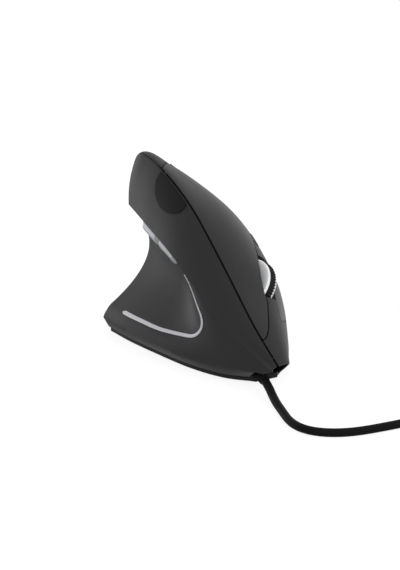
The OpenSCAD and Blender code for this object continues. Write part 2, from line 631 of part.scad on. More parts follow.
// Accent strip: swept over the scoop in a hook, wide at its start and narrow at its end
strip_path = [
    [0.121, 0.135], [0.255, 0.14], [0.4, 0.149], [0.513, 0.182], [0.575, 0.229],
    [0.604, 0.324], [0.597, 0.419], [0.549, 0.472], [0.507, 0.515], [0.478, 0.556]
];
function plane_spline(p, t) =
    let(n = len(p) - 1, k = min(floor(t * n), n - 1), f = t * n - k, b = p[k], c = p[k + 1])
    let(a = k > 0 ? p[k - 1] : 2 * b - c, d = k + 2 <= n ? p[k + 2] : 2 * c - b)
    (2 * b + (c - a) * f + (2 * a - 5 * b + 4 * c - d) * f * f + (3 * b - a - 3 * c + d) * f * f * f) / 2;
module accent_strip() {
    cells = 54;
    color("#c8c8d0") cell_solid(cells, 2,
        function(i, j, k)
            let(t = i / cells, q = plane_spline(strip_path, t), e = 0.002)
            let(a = plane_spline(strip_path, max(0, t - e)), b = plane_spline(strip_path, min(1, t + e)))
            let(n = normal(thumb_side, q[0], q[1]), run = unit(thumb_side(b[0], b[1]) - thumb_side(a[0], a[1])))
            let(width = lerp(strip_w_start, strip_w_end, t) * (i == 0 || i == cells ? 0.5 : 1))
            let(across_strip = (j - 1) * width / 2 * unit(cross(n, run)))
            thumb_side(q[0], q[1]) + across_strip + (k == 0 ? trim_proud : trim_lift) * n,
        all_cells);
}

// Inner frame
module inner_frame() {
    leg_half = leg_out + leg_boss_d / 2 + 1;
    color("#4a4a50") difference() {
        union() {
            web();
            multmatrix(wheel_at) finger_plate();
            multmatrix(thumb_at) translate([0, 0, thumb_board_z - board_t - thumb_post_h]) {
                translate([thumb_board_x[0], rest_y[0], -plate_t])
                    cube([rest_l, rest_y[1] - rest_y[0], plate_t]);
                for (x = thumb_posts) translate([x, 0, 0]) cylinder(d = post_d, h = thumb_post_h);
            }
            for (y = leg_y) translate([web_x - leg_half, y - leg_w / 2, seat_z])
                cube([2 * leg_half, leg_w, plate_t]);
            for (p = leg_screws) translate([p.x, p.y, seat_z]) cylinder(d = leg_boss_d, h = leg_boss_h);
            multmatrix(pace_at) translate([-tact_w / 2, -tact_w / 2, -pace_deep - pace_arm])
                cube([tact_w, tact_w, pace_arm]);
        }
        for (p = leg_screws) translate([p.x, p.y, seat_z - 1])
            cylinder(d = screw_d + 0.02, h = leg_boss_h + 0.5);
        multmatrix(wheel_at) {
            for (p = finger_posts) translate([p.x, p.y, board_z - board_t - 4]) cylinder(d = post_bore, h = 8);
            translate([pivot_x, 0, pivot_z]) across(pin_d + 0.02, 4 * board_y);
        }
        multmatrix(thumb_at) for (x = thumb_posts) translate([x, 0, thumb_board_z - board_t - 4])
            cylinder(d = post_bore, h = 8);
    }
}
// A round bar along y, centred
module across(d, w) {
    rotate([90, 0, 0]) cylinder(d = d, h = w, center = true);
}
module web() {
    front_y = web_top[len(web_top) - 1][0];
    points = concat([[web_rear_y, seat_z]], web_top,
        [[front_y, seat_z], [front_y - leg_w, seat_z], [front_y - leg_w, web_foot_z],
            [web_rear_y + leg_w, web_foot_z], [web_rear_y + leg_w, seat_z]]);
    difference() {
        translate([web_x - web_t / 2, 0, 0]) rotate([90, 0, 90]) linear_extrude(web_t) polygon(points);
        multmatrix(wheel_at) translate([plate_x0, -50, plate_z - plate_t / 2]) cube([100, 100, 50]);
    }
}
module finger_plate() {
    translate([0, 0, plate_z - plate_t]) linear_extrude(plate_t)
        polygon(concat([[plate_x0, -board_y], [board_x0 + 7, -board_y], [8, -7]], board_front,
            [[plate_x0, board_y]]));
    for (p = finger_posts) translate([p.x, p.y, plate_z]) cylinder(d = post_d, h = board_z - board_t - plate_z);
    for (side = [-1, 1]) translate([pivot_x - 2.4, side * (cheek_y + cheek_t + 1.6) - 1.2, plate_z])
        cube([4.8, 2.4, pivot_z + 2.4 - plate_z]);
}

// Boards and what they carry
module main_board() {
    color("#1f5a35") difference() {
        translate([main_board_x[0], main_board_y[0], main_board_z])
            cube([main_board_x[1] - main_board_x[0], main_board_y[1] - main_board_y[0], board_t]);
        for (p = main_posts) translate([p.x, p.y, main_board_z - 1]) cylinder(d = 2.2, h = board_t + 2);
        translate([sensor_at.x, sensor_at.y, main_board_z - 1]) cylinder(d = 5, h = board_t + 2);
    }
}
module sensor_chip() {
    color("#18181a") translate([sensor_at.x, sensor_at.y, main_board_z + board_t]) difference() {
        translate([-5, -6, 0]) cube([10, 12, 3]);
        translate([0, 0, -0.1]) cylinder(d = 2.4, h = 1);
    }
}
module sensor_lens() {
    color("#dfe8ea") translate([sensor_at.x, sensor_at.y, 0]) {
        translate([-window_w / 2 - 2, -window_l / 2 - 2, seat_z])
            cube([window_w + 4, window_l + 4, main_board_z - seat_z]);
        translate([0, 0, pad_t + 0.5]) cylinder(d = window_w - 1.4, h = seat_z - pad_t - 0.5);
    }
}
module sensor_lamp() {
    color("#c03028") translate([sensor_at.x, sensor_at.y - 10, main_board_z + board_t]) {
        cylinder(d = 3.8, h = 1);
        cylinder(d = 3, h = 3.2);
        translate([0, 0, 3.2]) difference() {
            sphere(d = 3);
            translate([0, 0, -3]) cube([4, 4, 6], center = true);
        }
    }
}
module controller_chip() {
    color("#18181a") translate([main_board_x[0] + 3, sensor_at.y - 4, main_board_z + board_t])
        cube([6, 8, 1.4]);
}
module cable_header() {
    color("#e8e4d8") translate([header_at.x - 5, header_at.y - 2, main_board_z + board_t]) difference() {
        cube([10, 4.4, 5]);
        translate([0.8, 0.8, 1]) cube([8.4, 2.8, 6]);
    }
}
module board_screw() {
    cylinder(d = post_bore - 0.02, h = 4);
    translate([0, 0, 4]) cylinder(d = 3.4, h = 1.2);
}
module board_screws() {
    color("silver") {
        for (p = main_posts) translate([p.x, p.y, main_board_z + board_t - 4]) board_screw();
        multmatrix(wheel_at) for (p = finger_posts) translate([p.x, p.y, board_z - 4]) board_screw();
        multmatrix(thumb_at) for (x = thumb_posts) translate([x, 0, thumb_board_z - 4]) board_screw();
    }
}
module finger_board() {
    color("#1f5a35") multmatrix(wheel_at) difference() {
        translate([0, 0, board_z - board_t]) linear_extrude(board_t)
            polygon(concat([[board_x0, -board_y], [upper_switch_x + 7.6, -board_y]], board_front,
                [[board_x0, board_y]]));
        translate([board_x0 - 1, -cheek_y - 0.8, board_z - board_t - 1])
            cube([wheel_d / 2 - board_x0 + 0.5, 2 * cheek_y + 1.6, board_t + 2]);
        for (p = finger_posts) translate([p.x, p.y, board_z - board_t - 1]) cylinder(d = 2.2, h = board_t + 2);
    }
}
module thumb_board() {
    color("#1f5a35") multmatrix(thumb_at) difference() {
        translate([thumb_board_x[0], -thumb_board_y, thumb_board_z - board_t])
            cube([thumb_board_x[1] - thumb_board_x[0], 2 * thumb_board_y, board_t]);
        for (x = thumb_posts) translate([x, 0, thumb_board_z - board_t - 1])
            cylinder(d = 2.2, h = board_t + 2);
    }
}

// Switches: the body with a well for its plunger, and the plunger that slides in it
module plunger_hole(top) {
    translate([0, 0, top - plunger_well]) cylinder(d = plunger_d + 2 * run_clear, h = plunger_well + 1);
}
module micro_switch() {
    difference() {
        translate([-switch_l / 2, -switch_w / 2, 0]) cube([switch_l, switch_w, switch_h]);
        plunger_hole(switch_h);
        for (x = [-1, 1]) translate([x * switch_l / 4, 0, 1.6]) across(1.6, switch_w + 2);
    }
}
module tact_switch() {
    difference() {
        translate([-tact_w / 2, -tact_w / 2, 0]) cube([tact_w, tact_w, tact_h]);
        plunger_hole(tact_h);
    }
}
module plunger(top) {
    translate([0, 0, top - plunger_in]) cylinder(d = plunger_d, h = plunger_in + plunger_out);
}
module at_upper_switch() { multmatrix(wheel_at) translate([upper_switch_x, -switch_y, board_z]) children(); }
module at_lower_switch() { multmatrix(wheel_at) translate([lower_switch_x, switch_y, board_z]) children(); }
module at_middle_switch() { multmatrix(wheel_at) translate([tact_x, 0, board_z]) children(); }
module at_pace_switch() { multmatrix(pace_at) translate([0, 0, -pace_deep]) children(); }
module at_thumb_switch(us) { multmatrix(thumb_at) translate([thumb_spot(us), 0, thumb_board_z]) children(); }
module upper_switch() { color("#202024") at_upper_switch() micro_switch(); }
module lower_switch() { color("#202024") at_lower_switch() micro_switch(); }
module middle_switch() { color("#202024") at_middle_switch() tact_switch(); }
module pace_switch() { color("#202024") at_pace_switch() tact_switch(); }
module back_switch() { color("#202024") at_thumb_switch(back_u) micro_switch(); }
module forward_switch() { color("#202024") at_thumb_switch(forward_u) micro_switch(); }
module upper_plunger() { color("#d8d0c0") at_upper_switch() plunger(switch_h); }
module lower_plunger() { color("#d8d0c0") at_lower_switch() plunger(switch_h); }
module middle_plunger() { color("#d8d0c0") at_middle_switch() plunger(tact_h); }
module pace_plunger() { color("#d8d0c0") at_pace_switch() plunger(tact_h); }
module back_plunger() { color("#d8d0c0") at_thumb_switch(back_u) plunger(switch_h); }
module forward_plunger() { color("#d8d0c0") at_thumb_switch(forward_u) plunger(switch_h); }

// Hinge pins and the cradle
module upper_hinge_pin() { color("silver") multmatrix(upper_hinge) across(pin_d, 2 * knuckle_y + knuckle_w); }
module lower_hinge_pin() { color("silver") multmatrix(lower_hinge) across(pin_d, 2 * knuckle_y + knuckle_w); }
module cradle_pin() {
    color("silver") multmatrix(wheel_at) translate([pivot_x, 0, pivot_z])
        across(pin_d, 2 * (cheek_y + cheek_t + 2.8));
}
module wheel_cradle() {
    reach = tact_x + 1.6;
    color("#d9d9dc") multmatrix(wheel_at) difference() {
        union() {
            for (side = [-1, 1]) translate([0, side * (cheek_y + cheek_t / 2), 0]) {
                translate([pivot_x, -cheek_t / 2, cradle_z]) cube([reach - pivot_x, cheek_t, cradle_h]);
                across(axle_d + 3.4, cheek_t);
            }
            translate([pivot_x - 2, -cheek_y - cheek_t, cradle_z]) cube([4, 2 * (cheek_y + cheek_t), cradle_h]);
            translate([tact_x - 1.2, -cheek_y - cheek_t, cradle_z])
                cube([2.8, 2 * (cheek_y + cheek_t), cradle_h]);
        }
        across(axle_d + 2 * run_clear, 4 * cheek_y);
        translate([pivot_x, 0, pivot_z]) across(pin_d + 2 * run_clear, 4 * cheek_y);
    }
}
module wheel_encoder() {
    color("#2f6fb0") multmatrix(wheel_at) translate([0, cheek_y + cheek_t, 0]) difference() {
        translate([-4.5, 0, -5]) cube([9, encoder_w, 9]);
        rotate([-90, 0, 0]) translate([0, 0, -1]) cylinder(d = axle_d + 2 * run_clear, h = encoder_w + 2);
    }
}

// Wheel
module wheel_hub() {
    r = wheel_d / 2;
    half = wheel_w / 2;
    seat = r - tyre_t;
    bore = axle_d / 2;
    side = [
        [bore, half - 0.3], [bore + 1.8, half - 0.3], [bore + 2.2, 1.2], [seat - 2.4, 1.2],
        [seat - 1.2, half - 0.5], [r - 1, half], [r - 0.5, half - 0.4], [r - 0.5, half - rim_w],
        [seat, half - rim_w]
    ];
    mirrored = [for (q = reversed(side)) [q[0], -q[1]]];
    color("#c9ccd0") multmatrix(wheel_at) rotate([90, 0, 0]) rotate_extrude() polygon(concat(side, mirrored));
}
module wheel_tyre() {
    r = wheel_d / 2;
    step = 360 / tyre_ribs;
    rib = [[-0.26, r], [0.06, r], [0.2, r - rib_deep], [0.6, r - rib_deep]];
    ribs = [for (k = [0:tyre_ribs - 1]) for (q = rib) q[1] * [cos((k + q[0]) * step), sin((k + q[0]) * step)]];
    color("#161617") multmatrix(wheel_at) rotate([90, 0, 0])
        linear_extrude(wheel_w - 2 * rim_w, center = true) difference() {
            polygon(ribs);
            circle(r = r - tyre_t);
        }
}
module wheel_axle() {
    color("silver") multmatrix(wheel_at) translate([0, -cheek_y - cheek_t - 0.4, 0]) rotate([-90, 0, 0])
        cylinder(d = axle_d, h = 2 * (cheek_y + cheek_t) + 0.4 + encoder_w);
}

// Buttons
module finger_panel(cells_u, cells_s, rear, front, low, high) {
    cell_solid(cells_u, cells_s,
        function(i, j, k)
            let(b = j / cells_s, u0 = rear(b), u1 = front(b))
            let(u = lerp(u0 + gap_u(u0, 0.3), u1 - gap_u(u1, 0.3), i / cells_u))
            let(s = lerp(low(u), high(u), b))
            finger_side(u, s) - k * wall * finger_in(u, s),
        all_cells);
}
module knuckles() {
    for (side = [-1, 1]) translate([0, side * knuckle_y, 0]) {
        across(knuckle_d, knuckle_w);
        translate([-knuckle_d / 2 + 0.5, -knuckle_w / 2, 0])
            cube([knuckle_d - 1, knuckle_w, hinge_drop - wall + sink]);
    }
}
module press_post(x, y, u, s) {
    bottom = board_z + switch_h + plunger_out + touch_gap;
    multmatrix(wheel_at) translate([x, y, bottom])
        cylinder(d = plunger_d + 1, h = skin_over(wheel_at, x, y, u, s) - wall + sink - bottom);
}
module upper_button() {
    color("#3e3e40") difference() {
        union() {
            finger_panel(24, 9, function(b) upper_rear(b), function(b) upper_front(b),
                function(u) finger_top(u), function(u) upper_edge(u) - gap_s(u, upper_edge(u)));
            multmatrix(upper_hinge) knuckles();
            press_post(upper_switch_x, -switch_y, 0.68, 0.25);
        }
        multmatrix(upper_hinge) across(pin_d + 2 * run_clear, 30);
    }
}
module lower_button() {
    color("#3e3e40") difference() {
        union() {
            finger_panel(18, 6, function(b) lower_rear(b), function(b) lower_front(b),
                function(u) lower_start(u) + gap_s(u, lower_start(u)),
                function(u) lower_end(u) - gap_s(u, lower_end(u)));
            multmatrix(lower_hinge) knuckles();
            press_post(lower_switch_x, switch_y, 0.72, 0.5);
        }
        multmatrix(lower_hinge) across(pin_d + 2 * run_clear, 30);
    }
}
module pace_button() {
    skirt = wall + 0.4;
    stem_z = -pace_deep + tact_h + plunger_out + touch_gap;
    color("#2a2a2c") multmatrix(pace_at) {
        translate([-(pace_l - pace_w) / 2, -pace_w / 2, -skirt])
            cube([pace_l - pace_w, pace_w, skirt + pace_proud]);
        for (side = [-1, 1]) translate([side * (pace_l - pace_w) / 2, 0, -skirt])
            cylinder(d = pace_w, h = skirt + pace_proud);
        translate([0, 0, stem_z]) cylinder(d = plunger_d + 1, h = -stem_z - 1);
    }
}
module thumb_bar(us, spot) {
    cells = 10;
    rows = 4;
    color("#c4c6cc") union() {
        cell_solid(cells, rows,
            function(i, j, k)
                let(u = lerp(us[0], us[1], i / cells), s = lerp(thumb_s0, thumb_s1, j / rows))
                let(edge = i == 0 || i == cells || j == 0 || j == rows ? 0.55 : 1)
                thumb_side(u, s) + (k == 0 ? thumb_proud * edge : -thumb_inset) * axis_z(thumb_at),
            all_cells);
        multmatrix(thumb_at) translate([spot, 0, thumb_stem_z])
            cylinder(d = plunger_d + 1, h = -thumb_stem_z - thumb_inset + sink);
    }
}
module back_button() { thumb_bar(back_u, thumb_spot(back_u)); }
module forward_button() { thumb_bar(forward_u, thumb_spot(forward_u)); }

// Cord
function tube_ring(path, k, d, sides) =
    let(n = len(path) - 1, t = unit(path[min(k + 1, n)] - path[max(k - 1, 0)]))
    let(side = unit(cross(t, [0, 0, 1])), up = cross(side, t))
    [for (q = [0:sides - 1]) let(a = 360 * (q + 0.5) / sides) path[k] + d / 2 * (cos(a) * side + sin(a) * up)];
module tube(path, d, sides) {
    n = len(path);
    points = [for (k = [0:n - 1]) each tube_ring(path, k, d, sides)];
    faces = concat(
        [for (k = [0:n - 2]) for (q = [0:sides - 1])
            let(a = k * sides + q, b = k * sides + (q + 1) % sides)
            each [[a, b, a + sides], [b, b + sides, a + sides]]],
        [for (q = [1:sides - 2]) [0, q + 1, q]],
        [for (q = [1:sides - 2]) let(z = (n - 1) * sides) [z, z + q, z + q + 1]]);
    polyhedron(points, faces);
}
function route(points, steps) =
    [for (k = [0:(len(points) - 1) * steps]) let(t = k / ((len(points) - 1) * steps)) plane_spline(points, t)];
coil_layers = 4;
coil_climb = 0.5;
coil_layer = (coil_turns - coil_climb * (coil_layers - 1)) / coil_layers;
coil_inner = coil_r - coil_pitch * coil_layer;
// The layers run inwards and outwards in turn, with a climb of half a turn after each
function coil_spot(a) =
    let(k = min(floor(a / (coil_layer + coil_climb)), coil_layers - 1), f = a - k * (coil_layer + coil_climb))
    let(inwards = k % 2 == 0 ? min(f, coil_layer) : coil_layer - min(f, coil_layer))
    let(z = coil_base + coil_pitch * (k + smooth(coil_layer, coil_layer + coil_climb, f)), w = 90 + 360 * a)
    let(r = coil_r - coil_pitch * inwards)
    [coil_centre.x + r * cos(w), coil_centre.y + r * sin(w), z];
coil_rings = 24;
coil_path = concat(
    [coil_spot(0) + [cord_d, 0, 0]],
    [for (k = [0:coil_turns * coil_rings]) coil_spot(k / coil_rings)],
    [coil_spot(coil_turns) - [0, cord_d, 0]]);

module cable_bushing() {
    neck = neck_d / 2;
    half = saddle_l / 2;
    color("#1d1d1f") along_cord() rotate_extrude() polygon([
        [0, -half - 1.2], [neck + 1, -half - 1.2], [neck + 1, -half - 0.05], [neck, -half - 0.05],
        [neck, half + 0.3], [bushing_d / 2, half + 0.8], [bushing_d / 2, bushing_reach - 2],
        [bushing_d / 2 - 0.6, bushing_reach - 0.7], [cord_d / 2 + 0.2, bushing_reach], [0, bushing_reach]
    ]);
}
module cord_run() { color("#2c2c2e") tube(route(cord_route, 3), cord_d, 8); }
module cord_coil() {
    last = len(coil_path) - 1;
    spans = [for (i = [0:2:last]) for (j = [i + 16:1:last]) norm(coil_path[i] - coil_path[j])];
    echo(least_gap_of_the_coil = min(spans) - cord_d);
    color("#2c2c2e") tube(coil_path, cord_d, 6);
}
module cord_tail() { color("#2c2c2e") tube(route(tail_route, 3), cord_d, 8); }
module coil_tie() {
    r0 = coil_inner - cord_d / 2 - 0.4;
    r1 = coil_r + cord_d / 2 - 0.2;
    top = coil_base + coil_pitch * (coil_layers - 1) + cord_d / 2 + 0.3;
    color("#1a1a1c") translate([coil_centre.x, coil_centre.y, 0]) difference() {
        translate([r0 - tie_t, -tie_w / 2, 0]) cube([r1 - r0 + 2 * tie_t, tie_w, top + tie_t]);
        translate([r0, -tie_w, tie_t]) cube([r1 - r0, 2 * tie_w, top - tie_t]);
    }
}
module plug_grip() {
    color("#232325") translate([tail_end.x, tail_end.y, tail_end.z]) rotate([90, 0, 0]) {
        translate([-grip_w / 2 + 1.5, -grip_h / 2, 2]) cube([grip_w - 3, grip_h, grip_l - 2]);
        for (side = [-1, 1]) translate([side * (grip_w / 2 - 1.5), 0, 2]) intersection() {
            cylinder(d = grip_h, h = grip_l - 2);
            translate([-1.5, -grip_h, 0]) cube([3, 2 * grip_h, grip_l]);
        }
        cylinder(d = 6, h = 2.4);
    }
}
module plug_shell() {
    color("#c8cacc") translate([tail_end.x, tail_end.y - grip_l, tail_end.z]) rotate([90, 0, 0]) difference() {
        union() {
            difference() {
                translate([-6, -2.25, 0]) cube([12, 4.5, 18.5]);
                translate([-5.6, -1.85, 2]) cube([11.2, 3.7, 18.5]);
            }
            translate([-5.5, -1.85, 0]) cube([11, 1.8, 17.5]);
        }
        for (x = [-1, 1]) translate([x * 2.9 - 1, 1, 8]) cube([2, 3, 2.4]);
    }
}

base_plate();
glide_pads();
base_screws();
thumb_shell();
palm_shell();
ridge_plate();
accent_strip();
inner_frame();
main_board();
sensor_chip();
sensor_lens();
sensor_lamp();
controller_chip();
cable_header();
board_screws();
finger_board();
thumb_board();
upper_switch();
lower_switch();
middle_switch();
pace_switch();
back_switch();
forward_switch();
upper_plunger();
lower_plunger();
middle_plunger();
pace_plunger();
back_plunger();
forward_plunger();
upper_hinge_pin();
lower_hinge_pin();
cradle_pin();
wheel_cradle();
wheel_encoder();
wheel_hub();
wheel_tyre();
wheel_axle();
upper_button();
lower_button();
pace_button();
back_button();
forward_button();
cable_bushing();
cord_run();
cord_coil();
cord_tail();
coil_tie();
plug_grip();
plug_shell();
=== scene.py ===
"""Looks of a wired vertical mouse for the left hand, built around its CAD frame.

Points are worked out in millimetres, on the solids' guide curves, some of them trimmed for the skin that is
seen, and become meshes in metres. On each side of the body, u runs from the rear to the nose.
"""

import json
import math

import bmesh
import bpy
import numpy as np
from mathutils import Matrix, Vector


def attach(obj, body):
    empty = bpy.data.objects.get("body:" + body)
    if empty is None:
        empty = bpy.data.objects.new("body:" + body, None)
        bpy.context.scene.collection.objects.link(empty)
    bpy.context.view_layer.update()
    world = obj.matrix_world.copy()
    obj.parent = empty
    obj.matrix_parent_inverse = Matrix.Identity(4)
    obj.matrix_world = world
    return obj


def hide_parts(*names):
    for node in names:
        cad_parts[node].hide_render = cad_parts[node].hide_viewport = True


MM = 0.001

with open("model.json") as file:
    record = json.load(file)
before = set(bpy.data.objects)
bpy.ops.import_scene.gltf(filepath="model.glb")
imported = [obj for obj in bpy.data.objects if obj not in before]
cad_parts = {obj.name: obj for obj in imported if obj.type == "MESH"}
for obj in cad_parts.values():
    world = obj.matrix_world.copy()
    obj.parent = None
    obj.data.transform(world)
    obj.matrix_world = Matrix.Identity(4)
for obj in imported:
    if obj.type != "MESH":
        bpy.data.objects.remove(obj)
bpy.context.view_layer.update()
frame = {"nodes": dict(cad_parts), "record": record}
nodes = frame["nodes"]

# Sizes shared with the solids, in millimetres
WALL = 2.0
PAD_T = 0.8
FLOOR_T = 2.2
SEAT_Z = PAD_T + FLOOR_T
RIDGE_GAP = 0.8
SHELL_GAP = 0.3
PANEL_GAP = 0.5
THUMB_GAP = 0.4
TIP_ROUND = 6.5
WHEEL_D = 24.0
WHEEL_W = 5.6
WHEEL_PROUD = 3.2
TYRE_T = 2.2
RIM_W = 1.1
AXLE_D = 3.0
PIN_D = 2.0
RUN_CLEAR = 0.05
THUMB_INSET = 2.4
PLUNGER_D = 2.2
CORD_D = 3.5
BUSHING_D = 5.4
# The seam round the lower button as it is seen, finer than the solids'
LOWER_GAP = 0.24

# Guide curves of the body, from the rear to the nose
RIDGE_LINE = [
    (11.85, -44.85, 75.5), (9.85, -24.85, 72.5), (7.35, -0.35, 62.5),
    (4.15, 22.95, 44.5), (0.65, 43.15, 26), (-3.15, 58.65, 12.5),
]
LIP_LINE = [
    (17.35, -41.35, 53), (17.05, -20.85, 48.5), (15.85, 0.15, 42.5),
    (12.35, 21.15, 30.5), (5.85, 39.65, 18.5), (-2.15, 55.65, 9),
]
RIM_LINE = [
    (31.35, -39.35, 7.5), (29.85, -20.85, 7.5), (26.35, -0.85, 7.5),
    (20.35, 20.15, 7.5), (10.85, 37.65, 7), (-0.15, 50.65, 6.5),
]
FOOT_LINE = [
    (29.85, -34.85, SEAT_Z), (27.85, -20.35, SEAT_Z), (23.85, -2.85, SEAT_Z),
    (17.85, 18.65, SEAT_Z), (9.85, 34.65, SEAT_Z), (-0.65, 44.65, SEAT_Z),
]
SHOULDER_LINE = [
    (15.35, -55.85, 58), (-0.65, -37.35, 81), (-12.15, -8.35, 70),
    (-15.15, 21.15, 51.5), (-13.15, 43.65, 29), (-9.15, 58.65, 13.5),
]
FLANK_LINE = [
    (20.35, -55.85, 29), (-9.15, -64.35, 32.5), (-35.15, -35.35, 40.5),
    (-33.65, 5.15, 31), (-24.65, 32.15, 18), (-14.65, 51.15, 10.5),
]
SEEN_FLANK_LINE = FLANK_LINE[:4] + [(-21.15, 32.15, 18)] + FLANK_LINE[5:]
HEEL_LINE = [
    (29.85, -34.85, SEAT_Z), (-1.15, -56.35, SEAT_Z), (-26.15, -34.35, SEAT_Z),
    (-30.15, 1.15, SEAT_Z), (-23.15, 28.15, SEAT_Z), (-11.15, 43.65, SEAT_Z),
]
# The rear tip's rounding: its share of u, its direction, and how fast it fades down the finger side
TIP_SHARE, TIP_DROP, TIP_FADE = 0.06, np.array([0.1, -0.15, -1]), 8
# The share of u over which the finger side bends to meet the thumb side's rear edge
REAR_SHARE = 0.22
# The thumb side in s: its flange ends in the rim, its band starts at the lip, and its rim is rounded
FLANGE_S, LIP_S = 0.1, 0.6
FLANGE_ROUND, FLANGE_REACH = 0.045, 0.09
ROUND_TAPS = (-1, -0.5, 0, 0.5, 1)
# The scoop's two pulls: where each acts between rim and lip, how far it pulls, and where it runs out in u
SCOOP_LOW = (0.36, np.array([-19.2, 4, 2]), (0.35, 0.8))
SCOOP_HIGH = (0.74, np.array([-16.2, 5, -1.5]), (0.3, 0.62))
BAND_CROWN = np.array([1.0, 0, 0.3])
# How the palm side swells: how far, how fast it rises in u and s from the edges, and where it runs out in u
BACK_FILL = (np.array([-6.0, -11, -2]), (0.08, 0.08), (0.06, 0.3))
SOLID_TIP = (np.array([-9.5, -3, 3]), (0.08, 0.08), (0.06, 0.3))
SEEN_TIP = (np.array([-5.6, -9.7, 8.3]), (0.05, 0.071), (0, 0.234))
# Where the swell beside the tip gives way to the one of the back, and where both end, in s
TIP_TO_BACK, FILL_END = (0.15, 0.5), (0.55, 0.95)
# Walls: how near the ridge, the rear edge and the foot they turn, and where they get thinner
RIDGE_TURN, REAR_TURN, FOOT_TURN, LIP_STRETCH = 0.11, 0.055, 0.05, 1.3
TIP_THIN, TIP_WIDENS_U, TIP_WIDENS_S = 0.45, (0.02, 0.14), (0.25, 0.5)
NOSE_THIN, NOSE_THINS_U = 0.25, (0.965, 0.995)
# The lift of a mitre that is too sharp, and the step for slopes in u and s
TIP_UP, NUDGE = np.array([0, -0.4, 1]), 0.003


def lerp(a, b, t):
    return a + (b - a) * t


def smooth(a, b, x):
    t = np.clip((x - a) / (b - a), 0, 1)
    return t * t * (3 - 2 * t)


def unit(v):
    return v / np.maximum(np.linalg.norm(v, axis=-1, keepdims=True), 1e-9)


def dot(a, b):
    return np.sum(a * b, axis=-1, keepdims=True)


def paired(u, s):
    """Two shares as arrays of one shape."""
    return np.broadcast_arrays(np.asarray(u, float), np.asarray(s, float))


def spline(points, t):
    """Points at shares t of a smooth curve through the guide points."""
    p = np.asarray(points, float)
    p = np.vstack([2 * p[0] - p[1], p, 2 * p[-1] - p[-2]])
    spans = len(p) - 3
    t = np.asarray(t, float)
    k = np.clip(np.floor(t * spans), 0, spans - 1).astype(int)
    f = (t * spans - k)[..., None]
    a, b, c, d = (p[k + step] for step in range(4))
    return (2 * b + (c - a) * f + (2 * a - 5 * b + 4 * c - d) * f**2 + (3 * b - a - 3 * c + d) * f**3) / 2


def bezier(a, b, c, d, t):
    return a * (1 - t) ** 3 + b * 3 * (1 - t) ** 2 * t + c * 3 * (1 - t) * t**2 + d * t**3


def tip_drop(u):
    """How far the rear tip is rounded down."""
    k = np.maximum(0, 1 - u / TIP_SHARE)
    drop = TIP_ROUND * (1 - np.sqrt(np.maximum(0, 1 - k * k)))
    return drop[..., None] * TIP_DROP


def pulled(rim, lip, scoop, u):
    """A control point of the scoop: pulled inwards at the rear, and between rim and lip at the nose."""
    share, pull, run = scoop
    return lerp(rim, lip, share) + pull * (1 - smooth(*run, u))[..., None]


def thumb_raw(u, s):
    foot, rim, lip = spline(FOOT_LINE, u), spline(RIM_LINE, u), spline(LIP_LINE, u)
    flange = lerp(foot, rim, (s / FLANGE_S)[..., None])
    low, high = pulled(rim, lip, SCOOP_LOW, u), pulled(rim, lip, SCOOP_HIGH, u)
    hollow = bezier(rim, low, high, lip, np.clip((s - FLANGE_S) / (LIP_S - FLANGE_S), 0, 1)[..., None])
    t = ((s - LIP_S) / (1 - LIP_S))[..., None]
    band = lerp(lip, spline(RIDGE_LINE, u) + tip_drop(u), t) + 4 * t * (1 - t) * BAND_CROWN
    return np.where((s <= FLANGE_S)[..., None], flange, np.where((s <= LIP_S)[..., None], hollow, band))


def thumb_side(u, s):
    """The thumb side's skin, with s from the foot up to the ridge. Its rim is rounded over."""
    u, s = paired(u, s)
    reach = FLANGE_ROUND * (1 - smooth(0, FLANGE_REACH, np.abs(s - FLANGE_S)))
    return sum(thumb_raw(u, s + k * reach) for k in ROUND_TAPS) / len(ROUND_TAPS)


def finger_raw(u, s, flank_line):
    lines = (spline(line, u) for line in (RIDGE_LINE, SHOULDER_LINE, flank_line, HEEL_LINE))
    return bezier(*lines, s[..., None]) + tip_drop(u) * ((1 - s) ** TIP_FADE)[..., None]


def fill(swell, u, s):
    """How a swell moves the skin."""
    full, rise, run = swell
    share = (1 - np.exp(-u / rise[0])) * (1 - np.exp(-s / rise[1])) * (1 - smooth(*run, u))
    return full * share[..., None]


def finger_form(u, s, flank_line, tip):
    """A finger side: arches from the ridge to the heel, swollen behind, and bent to meet the thumb side."""
    u, s = paired(u, s)
    full = lerp(fill(tip, u, s), fill(BACK_FILL, u, s), smooth(*TIP_TO_BACK, s)[..., None])
    w = (1 - smooth(0, REAR_SHARE, u))[..., None]
    rear = np.zeros_like(u)
    rear_edge = thumb_side(rear, 1 - s) - finger_raw(rear, s, flank_line)
    return finger_raw(u, s, flank_line) + full * (1 - smooth(*FILL_END, s))[..., None] + rear_edge * w


def finger_side(u, s):
    """The solids' finger side, with s from the ridge down to the foot. It sets the places of inner parts."""
    return finger_form(u, s, FLANK_LINE, SOLID_TIP)


def finger_skin(u, s):
    """The finger side that is seen: fuller beside the tip, and slimmer at the nose."""
    return finger_form(u, s, SEEN_FLANK_LINE, SEEN_TIP)


def along_u(side, u, s):
    a, b = np.maximum(0, u - NUDGE), np.minimum(1, u + NUDGE)
    return (side(b, s) - side(a, s)) / (b - a)[..., None]


def along_s(side, u, s):
    a, b = np.maximum(0, s - NUDGE), np.minimum(1, s + NUDGE)
    return (side(u, b) - side(u, a)) / (b - a)[..., None]


def normal(side, u, s):
    u, s = paired(u, s)
    return unit(np.cross(along_u(side, u, s), along_s(side, u, s)))


def share_u(side, u, s, length):
    """The share of u that a length takes up at a place on a side."""
    u, s = paired(u, s)
    return length / np.linalg.norm(along_u(side, u, s), axis=-1)


def share_s(side, u, s, length):
    """The share of s that a length takes up at a place on a side."""
    u, s = paired(u, s)
    return length / np.linalg.norm(along_s(side, u, s), axis=-1)


